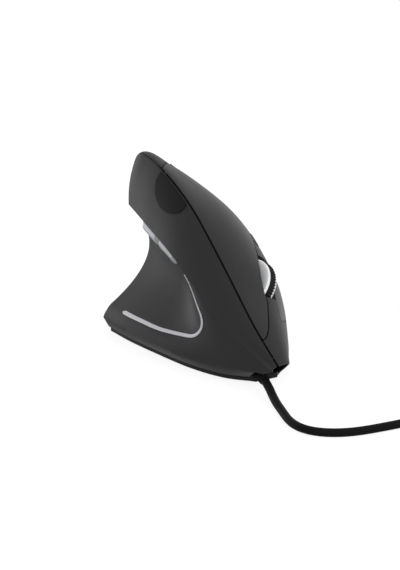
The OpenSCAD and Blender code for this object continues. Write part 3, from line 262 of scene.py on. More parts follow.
def mitre(n, m):
    """The direction in which two walls share an edge, lifted where they meet too sharply."""
    c = 1 + dot(n, m)
    return (n + m) / np.maximum(0.5, c) + TIP_UP * np.maximum(0, 1 - 2 * c)


def ridge_mitre(u):
    return mitre(normal(thumb_side, u, 1.0), normal(finger_skin, u, 0.0))


def rear_mitre(s):
    return mitre(normal(thumb_side, 0.0, s), normal(finger_skin, 0.0, 1 - s))


def tip_wall(u, from_ridge):
    """The share of its thickness that a wall has near the tip."""
    wide = np.maximum(smooth(*TIP_WIDENS_U, u), smooth(*TIP_WIDENS_S, from_ridge))
    return lerp(TIP_THIN, 1, wide)[..., None]


def level(n):
    """A direction laid flat, and stretched so that the wall keeps its thickness."""
    flat = n * np.array([1, 1, 0])
    return flat / np.maximum(dot(flat, flat), 1e-6)


def wall_in(side, u, s, from_ridge, at_lip=None):
    """Direction in which a wall grows inwards: square to the skin, mitred at the ridge and the rear edge,
    level at the foot, and shorter at the nose and where the tip is too narrow for two full walls."""
    n = normal(side, u, s)
    if at_lip is not None:
        n = np.where((np.abs(s - LIP_S) < NUDGE)[..., None], at_lip, n)
    up = 1 - from_ridge
    grown = lerp(n, ridge_mitre(u), (1 - smooth(0, RIDGE_TURN, from_ridge))[..., None])
    rear = rear_mitre(up)
    by_rear = (1 - smooth(0, REAR_TURN, u))[..., None]
    grown = lerp(grown, rear, by_rear)
    foot = lerp(level(n), rear * np.array([1, 1, 0]), by_rear)
    thick = tip_wall(u, from_ridge) * lerp(1, NOSE_THIN, smooth(*NOSE_THINS_U, u))[..., None]
    return thick * lerp(grown, foot, (1 - smooth(0, FOOT_TURN, up))[..., None])


def thumb_in(u, s):
    under_lip = LIP_STRETCH * normal(thumb_side, u, np.full_like(s, LIP_S - 2 * NUDGE))
    return wall_in(thumb_side, u, s, 1 - s, under_lip)


def finger_in(u, s):
    return wall_in(finger_skin, u, s, s)


# Seams and panels
SEAM_WIDENS_U = (0.17, 0.21)


def seam_gap(u):
    return lerp(SHELL_GAP, RIDGE_GAP, smooth(*SEAM_WIDENS_U, u))


def thumb_top(u):
    return 1 - share_s(thumb_side, u, 0.99, seam_gap(u) / 2)


def finger_top(u):
    return share_s(finger_side, u, 0.01, seam_gap(u) / 2)


# The strip between the finger buttons, and the buttons' edges in u and s
STRIP_BOW = 1.2
STRIP_W = WHEEL_W + 2 * PANEL_GAP + STRIP_BOW
UPPER_REAR_U, UPPER_FRONT_U, UPPER_SLANT, UPPER_BOW = 0.205, 0.872, 0.04, 0.13
LOWER_REAR_U, LOWER_FRONT_U, LOWER_SLANT, LOWER_BOW = 0.36, 0.79, 0.02, 0.05
UPPER_EDGE_S, EDGE_DIP, EDGE_DIPS_U, LOWER_DEEP, PANEL_S = 0.47, 0.2, (0.42, 0.72), 0.25, 0.3


def upper_edge(u):
    return UPPER_EDGE_S - EDGE_DIP * smooth(*EDGE_DIPS_U, u)


def lower_start(u):
    return upper_edge(u) + share_s(finger_side, u, upper_edge(u), STRIP_W)


def lower_end(u):
    return lower_start(u) + LOWER_DEEP


def upper_rear(b):
    return UPPER_REAR_U + UPPER_SLANT * b


def upper_front(b):
    return UPPER_FRONT_U - UPPER_BOW * b * b


def lower_rear(b):
    return LOWER_REAR_U + LOWER_SLANT * b


def lower_front(b):
    return LOWER_FRONT_U - LOWER_BOW * b * b


def strip_mid(u):
    return (upper_edge(u) + lower_start(u)) / 2


def gap_u(u, s, gap=PANEL_GAP):
    return share_u(finger_side, u, s, gap / 2)


def gap_s(u, s, gap=PANEL_GAP):
    return share_s(finger_side, u, s, gap / 2)


def place(origin, x, z):
    """A rigid place: its origin, the direction of its x, and its z outwards."""
    c = unit(z)
    a = unit(x - dot(x, c) * c)
    m = np.eye(4)
    m[:3, 0], m[:3, 1], m[:3, 2], m[:3, 3] = a, np.cross(c, a), c, origin
    return m


def moved(m, p):
    return np.asarray(p, float) @ m[:3, :3].T + m[:3, 3]


def finger_place(u, s, depth):
    u, s = np.float64(u), np.float64(s)
    n = normal(finger_side, u, s)
    return place(finger_side(u, s) - depth * n, along_u(finger_side, u, s), n)


def strip_place(u, depth):
    u = np.float64(u)
    a, b = u - NUDGE, u + NUDGE
    n = normal(finger_side, u, strip_mid(u))
    heading = finger_side(b, strip_mid(b)) - finger_side(a, strip_mid(a))
    return place(finger_side(u, strip_mid(u)) - depth * n, heading, n)


WHEEL_U, WHEEL_ROOM = 0.655, 0.9
WHEEL_DEPTH = WHEEL_D / 2 - WHEEL_PROUD
WHEEL_AT = strip_place(WHEEL_U, WHEEL_DEPTH)
WHEEL_CHORD = 2 * math.sqrt((WHEEL_D / 2) ** 2 - (WHEEL_DEPTH - WALL) ** 2)
WHEEL_S = strip_mid(np.float64(WHEEL_U))
WHEEL_HALF_U = float(share_u(finger_side, WHEEL_U, WHEEL_S, WHEEL_CHORD / 2 + WHEEL_ROOM))
PACE_U, PACE_L = 0.515, 8.4
PACE_S = strip_mid(np.float64(PACE_U))
PACE_HALF_U = float(share_u(finger_side, PACE_U, PACE_S, PACE_L / 2 + THUMB_GAP))
# The thumb buttons: their edges in s, and their ends in u as the solids have them and as they are seen
THUMB_S0, THUMB_S1 = 0.5, 0.575
SOLID_BACK_U, SOLID_FORWARD_U = (0.085, 0.235), (0.25, 0.41)
BACK_U, FORWARD_U = (0.07, 0.209), (0.2185, 0.358)
THUMB_MID_U = np.float64((SOLID_BACK_U[0] + SOLID_FORWARD_U[1]) / 2)
THUMB_MID_S = np.float64((THUMB_S0 + THUMB_S1) / 2)
THUMB_AT = place(
    thumb_side(THUMB_MID_U, THUMB_MID_S),
    along_u(thumb_side, THUMB_MID_U, THUMB_MID_S),
    normal(thumb_side, THUMB_MID_U, THUMB_MID_S),
)


# Meshes
def in_metres(points):
    return [tuple(p) for p in np.asarray(points, float).reshape(-1, 3) * MM]


def add_object(name, mesh):
    piece = bpy.data.objects.new(name, mesh)
    bpy.context.scene.collection.objects.link(piece)
    return piece


def shade(mesh, sharp_degrees=40):
    """Smooth faces, with the edges sharper than the angle kept."""
    bm = bmesh.new()
    bm.from_mesh(mesh)
    limit = math.radians(sharp_degrees)
    for face in bm.faces:
        face.smooth = True
    for edge in bm.edges:
        edge.smooth = len(edge.link_faces) == 2 and edge.calc_face_angle(0) < limit
    bm.to_mesh(mesh)
    bm.free()


def settle(piece):
    """Turns a piece with modifiers into a plain mesh."""
    evaluated = piece.evaluated_get(bpy.context.evaluated_depsgraph_get())
    mesh = bpy.data.meshes.new_from_object(evaluated)
    piece.modifiers.clear()
    piece.data = mesh
    shade(mesh)


def bevelled(piece, width, segments=3, by_weight=False):
    bevel = piece.modifiers.new("edge rounding", "BEVEL")
    bevel.width = width * MM
    bevel.segments = segments
    bevel.limit_method = "WEIGHT" if by_weight else "ANGLE"
    bevel.angle_limit = math.radians(35)
    bevel.use_clamp_overlap = True
    bevel.harden_normals = False


def finish_bm(bm, name):
    bmesh.ops.recalc_face_normals(bm, faces=bm.faces)
    mesh = bpy.data.meshes.new(name)
    bm.to_mesh(mesh)
    bm.free()
    return mesh


def wall_piece(name, outer, inner, keep, rounding, extras=()):
    """A closed wall between two grids of points, with a rim at every open edge and its outer edges rounded.
    keep says which cells exist, and extras are meshes inside that belong to the piece."""
    rows, columns = outer.shape[:2]
    number = np.arange(rows * columns).reshape(rows, columns)
    layer = number.size
    a, b, c, d = number[:-1, :-1], number[:-1, 1:], number[1:, 1:], number[1:, :-1]
    padded = np.pad(keep, 1)
    sides = [
        (a, b, padded[:-2, 1:-1]), (b, c, padded[1:-1, 2:]),
        (c, d, padded[2:, 1:-1]), (d, a, padded[1:-1, :-2]),
    ]
    skin = np.stack([a, d, c, b], -1)[keep]
    faces = [tuple(f) for f in skin] + [tuple(f[::-1] + layer) for f in skin]
    rim = set()
    for start, end, neighbour in sides:
        open_here = keep & ~neighbour
        for p, q in zip(start[open_here], end[open_here]):
            faces.append((p, q, q + layer, p + layer))
            rim.add((min(p, q), max(p, q)))
    bm = bmesh.new()
    verts = [bm.verts.new(p) for p in in_metres(outer) + in_metres(inner)]
    bm.verts.index_update()
    for face in faces:
        bm.faces.new([verts[k] for k in face])
    weight = bm.edges.layers.float.new("bevel_weight_edge")
    for edge in bm.edges:
        p, q = edge.verts[0].index, edge.verts[1].index
        if (min(p, q), max(p, q)) in rim:
            edge[weight] = 1.0
    bmesh.ops.delete(bm, geom=[v for v in bm.verts if not v.link_faces], context="VERTS")
    for extra in extras:
        bm.from_mesh(extra)
        bpy.data.meshes.remove(extra)
    piece = add_object(name, finish_bm(bm, name))
    bevelled(piece, rounding, by_weight=True)
    settle(piece)
    return piece


def block_mesh(at, low, high):
    """A plain block between two corners, in a place."""
    bm = bmesh.new()
    bmesh.ops.create_cube(bm, size=1)
    low, high = np.array(low, float), np.array(high, float)
    for v in bm.verts:
        v.co = Vector(moved(at, (low + high) / 2 + np.array(v.co) * (high - low)) * MM)
    return finish_bm(bm, "block")


def lathe_mesh(at, profile, steps=64, name="turned"):
    """A turned shape: profile gives radius and height along the place's z."""
    bm = bmesh.new()
    rings = []
    for r, h in profile:
        if r < 1e-6:
            rings.append([bm.verts.new(moved(at, (0, 0, h)) * MM)] * steps)
            continue
        turn = [2 * math.pi * k / steps for k in range(steps)]
        rings.append([bm.verts.new(moved(at, (r * math.cos(w), r * math.sin(w), h)) * MM) for w in turn])
    for low, high in zip(rings[:-1], rings[1:]):
        for k in range(steps):
            ring = [low[k], low[(k + 1) % steps], high[(k + 1) % steps], high[k]]
            corners = list(dict.fromkeys(ring))
            if len(corners) > 2:
                bm.faces.new(corners)
    return finish_bm(bm, name)


def turned_across(at):
    """The same place with its z turned to run along its y, for pins, hubs and bores."""
    m = at.copy()
    m[:3, 0], m[:3, 1], m[:3, 2] = at[:3, 2], at[:3, 0], at[:3, 1]
    return m


def shifted(at, offset):
    m = at.copy()
    m[:3, 3] = moved(at, offset)
    return m


def pipe_mesh(at, outer_d, inner_d, width):
    half, r, bore = width / 2, outer_d / 2, inner_d / 2
    return lathe_mesh(at, [(bore, -half), (r, -half), (r, half), (bore, half), (bore, -half)], steps=40)


def eased(cells):
    """Shares from 0 to 1 that lie closer together towards both ends."""
    return 0.5 - 0.5 * np.cos(np.linspace(0, math.pi, cells + 1))


def grid_stops(stops, counts):
    """Grid lines over several stretches: stops are arrays, counts the cells between them."""
    lines = [stops[0]]
    for first, last, count in zip(stops[:-1], stops[1:], counts):
        lines += [lerp(first, last, k / count) for k in range(1, count + 1)]
    return lines


def stretch_index(counts):
    return np.repeat(np.arange(len(counts)), counts)


# Materials
class Value:
    """A socket of a material's tree. Sums and products with it add Math nodes."""

    def __init__(self, finish, socket):
        self.finish = finish
        self.socket = socket

    def _math(self, operation, first, second):
        return self.finish.node("ShaderNodeMath", {"operation": operation}, {0: first, 1: second})

    def __add__(self, other):
        return self._math("ADD", self, other)

    def __radd__(self, other):
        return self._math("ADD", other, self)

    def __mul__(self, other):
        return self._math("MULTIPLY", self, other)

    def __rmul__(self, other):
        return self._math("MULTIPLY", other, self)


class Finish:
    """One material: constants go straight to the shader, patterns come from nodes."""

    def __init__(self, name, colour, roughness, **constants):
        self.material = bpy.data.materials.new(name)
        self.material.use_nodes = True
        self.tree = self.material.node_tree
        self.shader = self.tree.nodes["Principled BSDF"]
        self.colour = colour
        self.put("Base Color", (*colour, 1))
        self.put("Roughness", roughness)
        for socket, value in constants.items():
            self.put(socket.replace("_", " "), value)
        self.spot = self.node("ShaderNodeTexCoord", output="Object")

    def put(self, socket, value):
        self._set(self.shader.inputs[socket], value)

    def _set(self, socket, value):
        if isinstance(value, Value):
            self.tree.links.new(value.socket, socket)
        else:
            socket.default_value = value

    def node(self, kind, settings=None, sockets=None, output=0):
        made = self.tree.nodes.new(kind)
        for name, value in (settings or {}).items():
            setattr(made, name, value)
        for name, value in (sockets or {}).items():
            self._set(made.inputs[name], value)
        return Value(self, made.outputs[output])

    def noise(self, scale, detail=2.0):
        sockets = {"Vector": self.spot, "Scale": scale, "Detail": detail}
        return self.node("ShaderNodeTexNoise", None, sockets, "Fac")

    def blend(self, share, first, second):
        settings = {"data_type": "RGBA"}
        sockets = {"Factor": share, 6: first, 7: second}
        return self.node("ShaderNodeMix", settings, sockets, 2)

    def bump(self, height, strength, depth):
        sockets = {"Strength": strength, "Distance": depth, "Height": height}
        self.put("Normal", self.node("ShaderNodeBump", None, sockets))

    def tinted(self, factor):
        return (*(c * factor for c in self.colour), 1)


GLOSS_DRIFT, GLOSS_WEAR = 0.08, 0.16


def moulded(name, colour, roughness, grain=0.0003, depth=0.00002, spread=0.12, **constants):
    """Moulded plastic or rubber: a fine even grain, with slow drifts of colour and gloss."""
    finish = Finish(name, colour, roughness, **constants)
    drift = finish.noise(scale=55, detail=3.0)
    finish.put("Base Color", finish.blend(drift, finish.tinted(1 - spread), finish.tinted(1 + spread)))
    finish.put("Roughness", drift * GLOSS_DRIFT + (roughness - GLOSS_DRIFT / 2))
    finish.bump(finish.noise(scale=1 / grain), strength=0.35, depth=depth)
    return finish.material


def metal(name, colour, roughness, scale=900.0, metallic=1.0):
    """Bare or plated metal, or silver paint, with fine wear in its gloss."""
    finish = Finish(name, colour, roughness, Metallic=metallic)
    wear = finish.noise(scale, detail=4.0)
    finish.put("Roughness", wear * GLOSS_WEAR + (roughness - GLOSS_WEAR / 2))
    finish.put("Base Color", finish.blend(wear, finish.tinted(0.86), finish.tinted(1.08)))
    finish.bump(wear, strength=0.15, depth=0.00001)
    return finish.material


def circuit_board(name):
    """Solder mask over faint copper tracks."""
    finish = Finish(name, (0.012, 0.075, 0.03), 0.4, Coat_Weight=0.3)
    tracks = finish.node("ShaderNodeTexBrick", {"offset": 0.37}, {
        "Vector": finish.spot, "Scale": 260.0, "Mortar Size": 0.05, "Color1": (0, 0, 0, 1),
        "Color2": (0, 0, 0, 1), "Mortar": (1, 1, 1, 1),
    }, "Fac")
    finish.put("Base Color", finish.blend(tracks, finish.tinted(1.0), (0.03, 0.14, 0.05, 1)))
    finish.bump(tracks, strength=0.4, depth=0.00003)
    return finish.material


def clear_plastic(name, colour):
    finish = Finish(name, colour, 0.12, Transmission_Weight=0.85, IOR=1.49)
    finish.put("Roughness", finish.noise(400) * 0.1 + 0.06)
    return finish.material


looks = {
    "shell": moulded("soft touch shell", (0.024, 0.024, 0.024), 0.48, Specular_IOR_Level=0.16),
    "button": moulded("soft touch button", (0.024, 0.024, 0.0242), 0.42, Specular_IOR_Level=0.2),
    "plate": moulded("satin inlay", (0.006, 0.006, 0.0062), 0.55, depth=0.00001, Specular_IOR_Level=0.1),
    "accent": moulded("pale strip", (0.66, 0.66, 0.72), 0.35, depth=0.00001, spread=0.04),
    "silver_button": metal("silver plating", (0.24, 0.245, 0.26), 0.4),
    "wheel_metal": metal("silver wheel paint", (0.93, 0.94, 0.95), 0.3, metallic=0.1),
    "tyre": moulded("wheel rubber", (0.008, 0.008, 0.008), 0.6, Specular_IOR_Level=0.2),
    "base_plastic": moulded("base plastic", (0.010, 0.010, 0.0105), 0.55, Specular_IOR_Level=0.15),
    "glide": moulded("glide pad", (0.012, 0.012, 0.013), 0.3, depth=0.000008),
    "steel": metal("screw steel", (0.56, 0.56, 0.58), 0.3),
    "board": circuit_board("circuit board"),
    "chip": moulded("chip moulding", (0.012, 0.012, 0.013), 0.45),
    "lens": clear_plastic("lens plastic", (0.9, 0.95, 0.97)),
    "lamp": clear_plastic("lamp plastic", (0.8, 0.06, 0.04)),
    "header": moulded("pale moulding", (0.74, 0.71, 0.62), 0.42, spread=0.05),
    "white_plastic": moulded("white moulding", (0.66, 0.66, 0.68), 0.4, spread=0.05),
    "encoder": moulded("encoder moulding", (0.03, 0.13, 0.34), 0.42),
    "cord": moulded("cord jacket", (0.006, 0.006, 0.0062), 0.6, grain=0.0005, Specular_IOR_Level=0.05),
    "tie": moulded("tie moulding", (0.012, 0.012, 0.013), 0.45),
    "plug_metal": metal("plug steel", (0.6, 0.61, 0.63), 0.28),
}
slot_of = {row["node"]: row["material_slot"] for row in frame["record"]["subparts"]}


def dress(piece, slot):
    piece.data.materials.clear()
    piece.data.materials.append(looks[slot])


def stand_for(piece, body, *names):
    """The piece takes the place of CAD nodes, with their finish, on their body."""
    dress(piece, slot_of[names[0]])
    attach(piece, body)
    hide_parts(*names)


for name, node in nodes.items():
    dress(node, slot_of[name])

# Camera: the photograph's view, with a long lens
AZIMUTH, ELEVATION = math.radians(155), math.radians(20)
AIM = Vector((-0.00023, -0.00848, 0.02525))
VIEW_TALL = 0.2350
DISTANCE, SENSOR_W = 1.5, 36
back = Vector((
    math.sin(AZIMUTH) * math.cos(ELEVATION), -math.cos(AZIMUTH) * math.cos(ELEVATION), math.sin(ELEVATION),
))
camera_data = bpy.data.cameras.new("camera")
camera_data.sensor_width = SENSOR_W
camera_data.lens = SENSOR_W * DISTANCE / VIEW_TALL
camera = bpy.data.objects.new("camera", camera_data)
camera.location = AIM + back * DISTANCE
camera.rotation_mode = "QUATERNION"
camera.rotation_quaternion = (-back).to_track_quat("-Z", "Y")
camera_data.clip_end = 20
bpy.context.scene.collection.objects.link(camera)
bpy.context.scene.camera = camera

# Cord: out of the boot, along the desk, into a coil of four layers, and on to the plug
CORD_EXIT = np.array([-1.1, 50.95, 4])
CORD_HEADING = np.array([0.21, 1, 0])
COIL_CENTRE = np.array([-77.15, 85.15])
COIL_TURNS, COIL_R, COIL_PITCH = 10.25, 24.9, 4.6
COIL_LIFT = 0.7
COIL_BASE = COIL_LIFT + CORD_D / 2
COIL_LAYERS, COIL_CLIMB = 4, 0.5
COIL_LAYER = (COIL_TURNS - COIL_CLIMB * (COIL_LAYERS - 1)) / COIL_LAYERS
CORD_ROUTE = [
    CORD_EXIT, CORD_EXIT + 1.5 * CORD_HEADING, CORD_EXIT + 3 * CORD_HEADING, (0.65, 59.15, 3.5),
    (1.45, 63.15, 2.6), (2.4, 67.65, 2), (3.35, 72.15, 1.8),
    (4.35, 77.15, 1.8), (5.35, 82.15, 1.8), (6.2, 87.15, 1.8), (6.4, 92.15, 1.8),
    (5.5, 97.1, 1.8), (3.15, 101.5, 1.8), (-0.5, 105, 1.8), (-5.15, 107.5, 1.8),
    (-10.75, 109.1, 1.8), (-17.15, 109.85, 1.85), (-25.15, 110.05, 1.95), (-34.15, 110.05, 2.1),
    (-44.15, 110.05, 2.3), (-54.15, 110.05, 2.4), (-64.15, 110.05, 2.45),
    (COIL_CENTRE[0] + 3.5, COIL_CENTRE[1] + COIL_R, 2.45),
]
TAIL_ROUTE = [
    (-102.05, 81.55, 16.25), (-102.05, 78.15, 16.2), (-101.65, 72.15, 15.3), (-100.75, 66.15, 13.1),
    (-99.75, 60.65, 10.5), (-98.75, 55.15, 7.8), (-97.95, 50.15, 5.7), (-97.35, 45.65, 4.4),
    (-97.15, 41.65, 4), (-97.15, 39.65, 4), (-97.15, 37.15, 4),
]


def coil_points(steps):
    """Layers that run inwards and outwards in turn, with a climb of half a turn after each."""
    a = np.linspace(0, COIL_TURNS, int(COIL_TURNS * steps) + 1)
    layer = np.minimum(np.floor(a / (COIL_LAYER + COIL_CLIMB)), COIL_LAYERS - 1)
    f = a - layer * (COIL_LAYER + COIL_CLIMB)
    run = np.minimum(f, COIL_LAYER)
    r = COIL_R - COIL_PITCH * np.where(layer % 2 == 0, run, COIL_LAYER - run)
    z = COIL_BASE + COIL_PITCH * (layer + smooth(COIL_LAYER, COIL_LAYER + COIL_CLIMB, f))
    turn = np.radians(90 + 360 * a)
    return np.stack([COIL_CENTRE[0] + r * np.cos(turn), COIL_CENTRE[1] + r * np.sin(turn), z], -1)


def sampled(route, steps):
    return spline(route, np.linspace(0, 1, (len(route) - 1) * steps + 1))


ROUTE_STEPS, COIL_STEPS, LEAST_STEP = 5, 40, 0.3
stretches = [sampled(CORD_ROUTE, ROUTE_STEPS), coil_points(COIL_STEPS), sampled(TAIL_ROUTE, ROUTE_STEPS)]
whole_route = np.vstack(stretches)
apart = np.linalg.norm(np.diff(whole_route, axis=0), axis=1)
cord_points = whole_route[np.r_[True, apart > LEAST_STEP]]
cord_curve = bpy.data.curves.new("cord", "CURVE")
cord_curve.dimensions = "3D"
cord_curve.bevel_depth = CORD_D / 2 * MM
cord_curve.bevel_resolution = 5
cord_curve.use_fill_caps = True
line = cord_curve.splines.new("POLY")
line.points.add(len(cord_points) - 1)
for point, spot in zip(line.points, cord_points * MM):
    point.co = (*spot, 1)
cord = add_object("cord", cord_curve)
stand_for(cord, "chassis", "cord_run", "cord_coil", "cord_tail")

# Thumb shell
NEAR_REAR_U = 0.01
rear_cut = float(share_u(thumb_side, NEAR_REAR_U, 0.3, SHELL_GAP))
thumb_gap_u = float(share_u(thumb_side, BACK_U[1], THUMB_MID_S, THUMB_GAP))
thumb_gap_s = float(share_s(thumb_side, BACK_U[1], THUMB_MID_S, THUMB_GAP))
NOTCH_U, NOTCH_S = 0.955, 0.15
FOOT_CUT, FOOT_CUT_S = 4, (0.02, 0.14)
# The strip behind the ridge's seam: its ends, thickness, overlap on each side, and the depths of its lines
TONGUE_U, TONGUE_T, TONGUE_STEPS = (0.22, 0.95), 0.5, 90
TONGUE_ROOT, TONGUE_REACH = 1.5, 1.6
TONGUE_DEPTHS = (1.5, 2.9, 3.1)
SHELL_ROUND, PANEL_ROUND, PALM_ROUND = 0.35, 0.35, 0.3


def seam_tongue():
    """A bent strip behind the ridge's seam, as a lap joint has, clear of the pressed button."""
    u = np.linspace(*TONGUE_U, TONGUE_STEPS)
    edge, far = thumb_top(u), finger_top(u) + share_s(finger_side, u, 0.03, TONGUE_REACH)
    root = edge - share_s(thumb_side, u, 0.95, TONGUE_ROOT)

    def across(deeper):
        at_root, at_edge, at_far = (depth + deeper for depth in TONGUE_DEPTHS)
        return [
            thumb_side(u, root) - at_root * thumb_in(u, root),
            thumb_side(u, edge) - at_edge * thumb_in(u, edge),
            finger_skin(u, far) - at_far * finger_in(u, far),
        ]

    rings = np.stack(across(0) + across(TONGUE_T)[::-1], 1)
    bm = bmesh.new()
    loops = [[bm.verts.new(p) for p in in_metres(ring)] for ring in rings]
    for one, two in zip(loops, loops[1:]):
        for k in range(len(one)):
            bm.faces.new((one[k - 1], one[k], two[k], two[k - 1]))
    bm.faces.new(loops[0])
    bm.faces.new(loops[-1][::-1])
    return finish_bm(bm, "seam tongue")


def thumb_shell():
    counts_u = [10, 46, 56, 10]
    counts_s = [4, 8, 26, 8, 32]
    share = np.array(grid_stops([0.0, FLANGE_S, NOTCH_S, THUMB_S0 - thumb_gap_s, LIP_S, 1.0], counts_s))
    rear = rear_cut * lerp(FOOT_CUT, 1, smooth(*FOOT_CUT_S, share))
    stops = [rear, BACK_U[0] - thumb_gap_u, FORWARD_U[1] + thumb_gap_u, NOTCH_U, 1.0]
    u = np.array([np.broadcast_to(x, share.shape) for x in grid_stops(stops, counts_u)])
    above = np.clip((share - LIP_S) / (1 - LIP_S), 0, 1)
    s = np.where(share > LIP_S, LIP_S + above * (thumb_top(u) - LIP_S), share)
    part_u, part_s = stretch_index(counts_u)[:, None], stretch_index(counts_s)[None, :]
    window, notch = (part_u == 1) & (part_s == 3), (part_u == 3) & (part_s <= 1)
    keep = ~window & ~notch
    outer = thumb_side(u, s)
    inner = outer - WALL * thumb_in(u, s)
    return wall_piece("thumb_side_shell", outer, inner, keep, SHELL_ROUND, [seam_tongue()])


stand_for(thumb_shell(), "chassis", "thumb_shell")

# Palm shell: one grid round both finger buttons, the wheel and the pace button
HINGE_DROP, KNUCKLE_D, KNUCKLE_W, KNUCKLE_Y = 5.2, 4.4, 2.4, 4.3
KNUCKLE_INSET, KNUCKLE_ROOF = 0.5, 0.4
ARM_L, ARM_T, ARM_ROOT, ARM_CLEAR, SINK = 12.0, 3.0, 5.5, 0.3, 0.7
UPPER_HINGE_IN, LOWER_HINGE_IN, UPPER_HINGE_SHARE = 0.055, 0.035, 0.53
upper_mid = upper_edge(np.float64(UPPER_REAR_U)) * UPPER_HINGE_SHARE
upper_hinge = finger_place(UPPER_REAR_U + UPPER_HINGE_IN, upper_mid, HINGE_DROP)
lower_mid = (lower_start(np.float64(LOWER_REAR_U)) + lower_end(np.float64(LOWER_REAR_U))) / 2
lower_hinge = finger_place(LOWER_REAR_U + LOWER_HINGE_IN, lower_mid, HINGE_DROP)
# Cells of the palm shell's grid in each stretch of u and s, the rows of its strip, and the stretches' numbers
PALM_U = [34, 16, 8, 8, 22, 14, 22]
STRIP_ROWS = [0, 0.06, 0.12, 0.17, 0.34, 0.5, 0.66, 0.83, 0.88, 0.94, 1]
PALM_S = [32, len(STRIP_ROWS) - 1, 22, 18, 6]
PACE_ROWS = (3, 7)
BEHIND, AT_PACE, AT_WHEEL, AHEAD = 0, 2, 4, 6
UPPER, STRIP, LOWER = 0, 1, 2


def skin_height(at, x, y, u, s):
    """Height of the finger side's skin over a point of a place."""
    u, s = np.float64(u), np.float64(s)
    ax, ay, az, o = at[:3, 0], at[:3, 1], at[:3, 2], at[:3, 3]
    for _ in range(7):
        r = finger_skin(u, s) - o
        du, ds = along_u(finger_skin, u, s), along_s(finger_skin, u, s)
        a, b, c, d = du @ ax, ds @ ax, du @ ay, ds @ ay
        det = a * d - b * c
        ex, ey = x - r @ ax, y - r @ ay
        u, s = u + (ex * d - ey * b) / det, s + (ey * a - ex * c) / det
    return float((finger_skin(u, s) - o) @ az)


def hinge_arm(at, u, s):
    half = KNUCKLE_Y - KNUCKLE_W / 2 - ARM_CLEAR
    root = skin_height(at, -ARM_L + ARM_T, 0, u, s) - WALL + SINK
    return [
        pipe_mesh(turned_across(at), KNUCKLE_D, PIN_D, 2 * half),
        block_mesh(at, (-ARM_L, -half, -ARM_T / 2), (-KNUCKLE_D / 2 + ARM_CLEAR, half, ARM_T / 2)),
        block_mesh(at, (-ARM_L, -half, 0), (-ARM_L + ARM_ROOT, half, root)),
    ]


def palm_shell():
    b, part = [], []
    for k, count in enumerate(PALM_S):
        b += STRIP_ROWS[:-1] if k == STRIP else [j / count for j in range(count)]
        part += [k] * count
    b, part = np.array(b + [1.0]), np.array(part + [len(PALM_S) - 1])

    def edge(first, last):
        return np.select(
            [part == UPPER, part == STRIP, part == LOWER],
            [first(b), lerp(first(1.0), last(0.0), b), last(b)], last(1.0),
        )

    rear, front = edge(upper_rear, lower_rear), edge(upper_front, lower_front)
    gap = np.where(part >= LOWER, LOWER_GAP, PANEL_GAP)
    rear_end = float(share_u(finger_side, NEAR_REAR_U, 0.4, SHELL_GAP))
    windows = [PACE_U - PACE_HALF_U, PACE_U + PACE_HALF_U, WHEEL_U - WHEEL_HALF_U, WHEEL_U + WHEEL_HALF_U]
    stops = [
        np.full_like(b, rear_end), rear - gap_u(rear, PANEL_S, gap),
        *(np.full_like(b, x) for x in windows), front + gap_u(front, PANEL_S, gap), np.ones_like(b),
    ]
    u = np.array(grid_stops(stops, PALM_U))
    levels = [
        finger_top(u), upper_edge(u) + gap_s(u, upper_edge(u)),
        lower_start(u) - gap_s(u, lower_start(u), LOWER_GAP),
        lower_end(u) + gap_s(u, lower_end(u), LOWER_GAP), np.full_like(u, 1 - FLANGE_S), np.ones_like(u),
    ]
    in_part = [np.broadcast_to(part == k, u.shape) for k in range(len(PALM_S))]
    s = lerp(np.select(in_part, levels[:-1]), np.select(in_part, levels[1:]), b)
    part_u, part_s = stretch_index(PALM_U)[:, None], stretch_index(PALM_S)[None, :]
    row = np.arange(sum(PALM_S))[None, :] - PALM_S[UPPER]
    in_pace = (part_u == AT_PACE) & (row >= PACE_ROWS[0]) & (row < PACE_ROWS[1])
    by_strip, by_panel = (part_u != AT_WHEEL) & ~in_pace, (part_u == BEHIND) | (part_u == AHEAD)
    keep = np.where(part_s > LOWER, True, np.where(part_s == STRIP, by_strip, by_panel))
    outer = finger_skin(u, s)
    arms = hinge_arm(upper_hinge, UPPER_REAR_U, upper_mid) + hinge_arm(lower_hinge, LOWER_REAR_U, lower_mid)
    return wall_piece("palm_side_shell", outer, outer - WALL * finger_in(u, s), keep, PALM_ROUND, arms)


stand_for(palm_shell(), "chassis", "palm_shell")

# Finger buttons
BOARD_LIFT, SWITCH_H, PLUNGER_OUT, TOUCH_GAP = 4.4, 6.5, 0.9, 0.1
BOARD_Z = -WHEEL_D / 2 + BOARD_LIFT
CHEEK_GAP, CHEEK_T, SWITCH_CLEAR, SWITCH_W = 0.6, 1.6, 0.4, 5.8
SWITCH_Y = WHEEL_W / 2 + CHEEK_GAP + CHEEK_T + SWITCH_CLEAR + SWITCH_W / 2
UPPER_SWITCH_X, LOWER_SWITCH_X = 3.0, 12.4
# Where the search for the skin over each switch starts, in u and s, and the cells of the two buttons
UPPER_SWITCH_NEAR, LOWER_SWITCH_NEAR = (0.68, 0.25), (0.72, 0.5)
UPPER_CELLS, LOWER_CELLS = (84, 36), (60, 24)


def knuckles(at):
    made = []
    for side in (-1, 1):
        knuckle = shifted(at, (0, side * KNUCKLE_Y, 0))
        made.append(pipe_mesh(turned_across(knuckle), KNUCKLE_D, PIN_D + 2 * RUN_CLEAR, KNUCKLE_W))
        made.append(block_mesh(
            knuckle, (-KNUCKLE_D / 2 + KNUCKLE_INSET, -KNUCKLE_W / 2, PIN_D / 2 + KNUCKLE_ROOF),
            (KNUCKLE_D / 2 - KNUCKLE_INSET, KNUCKLE_W / 2, HINGE_DROP - WALL + SINK),
        ))
    return made


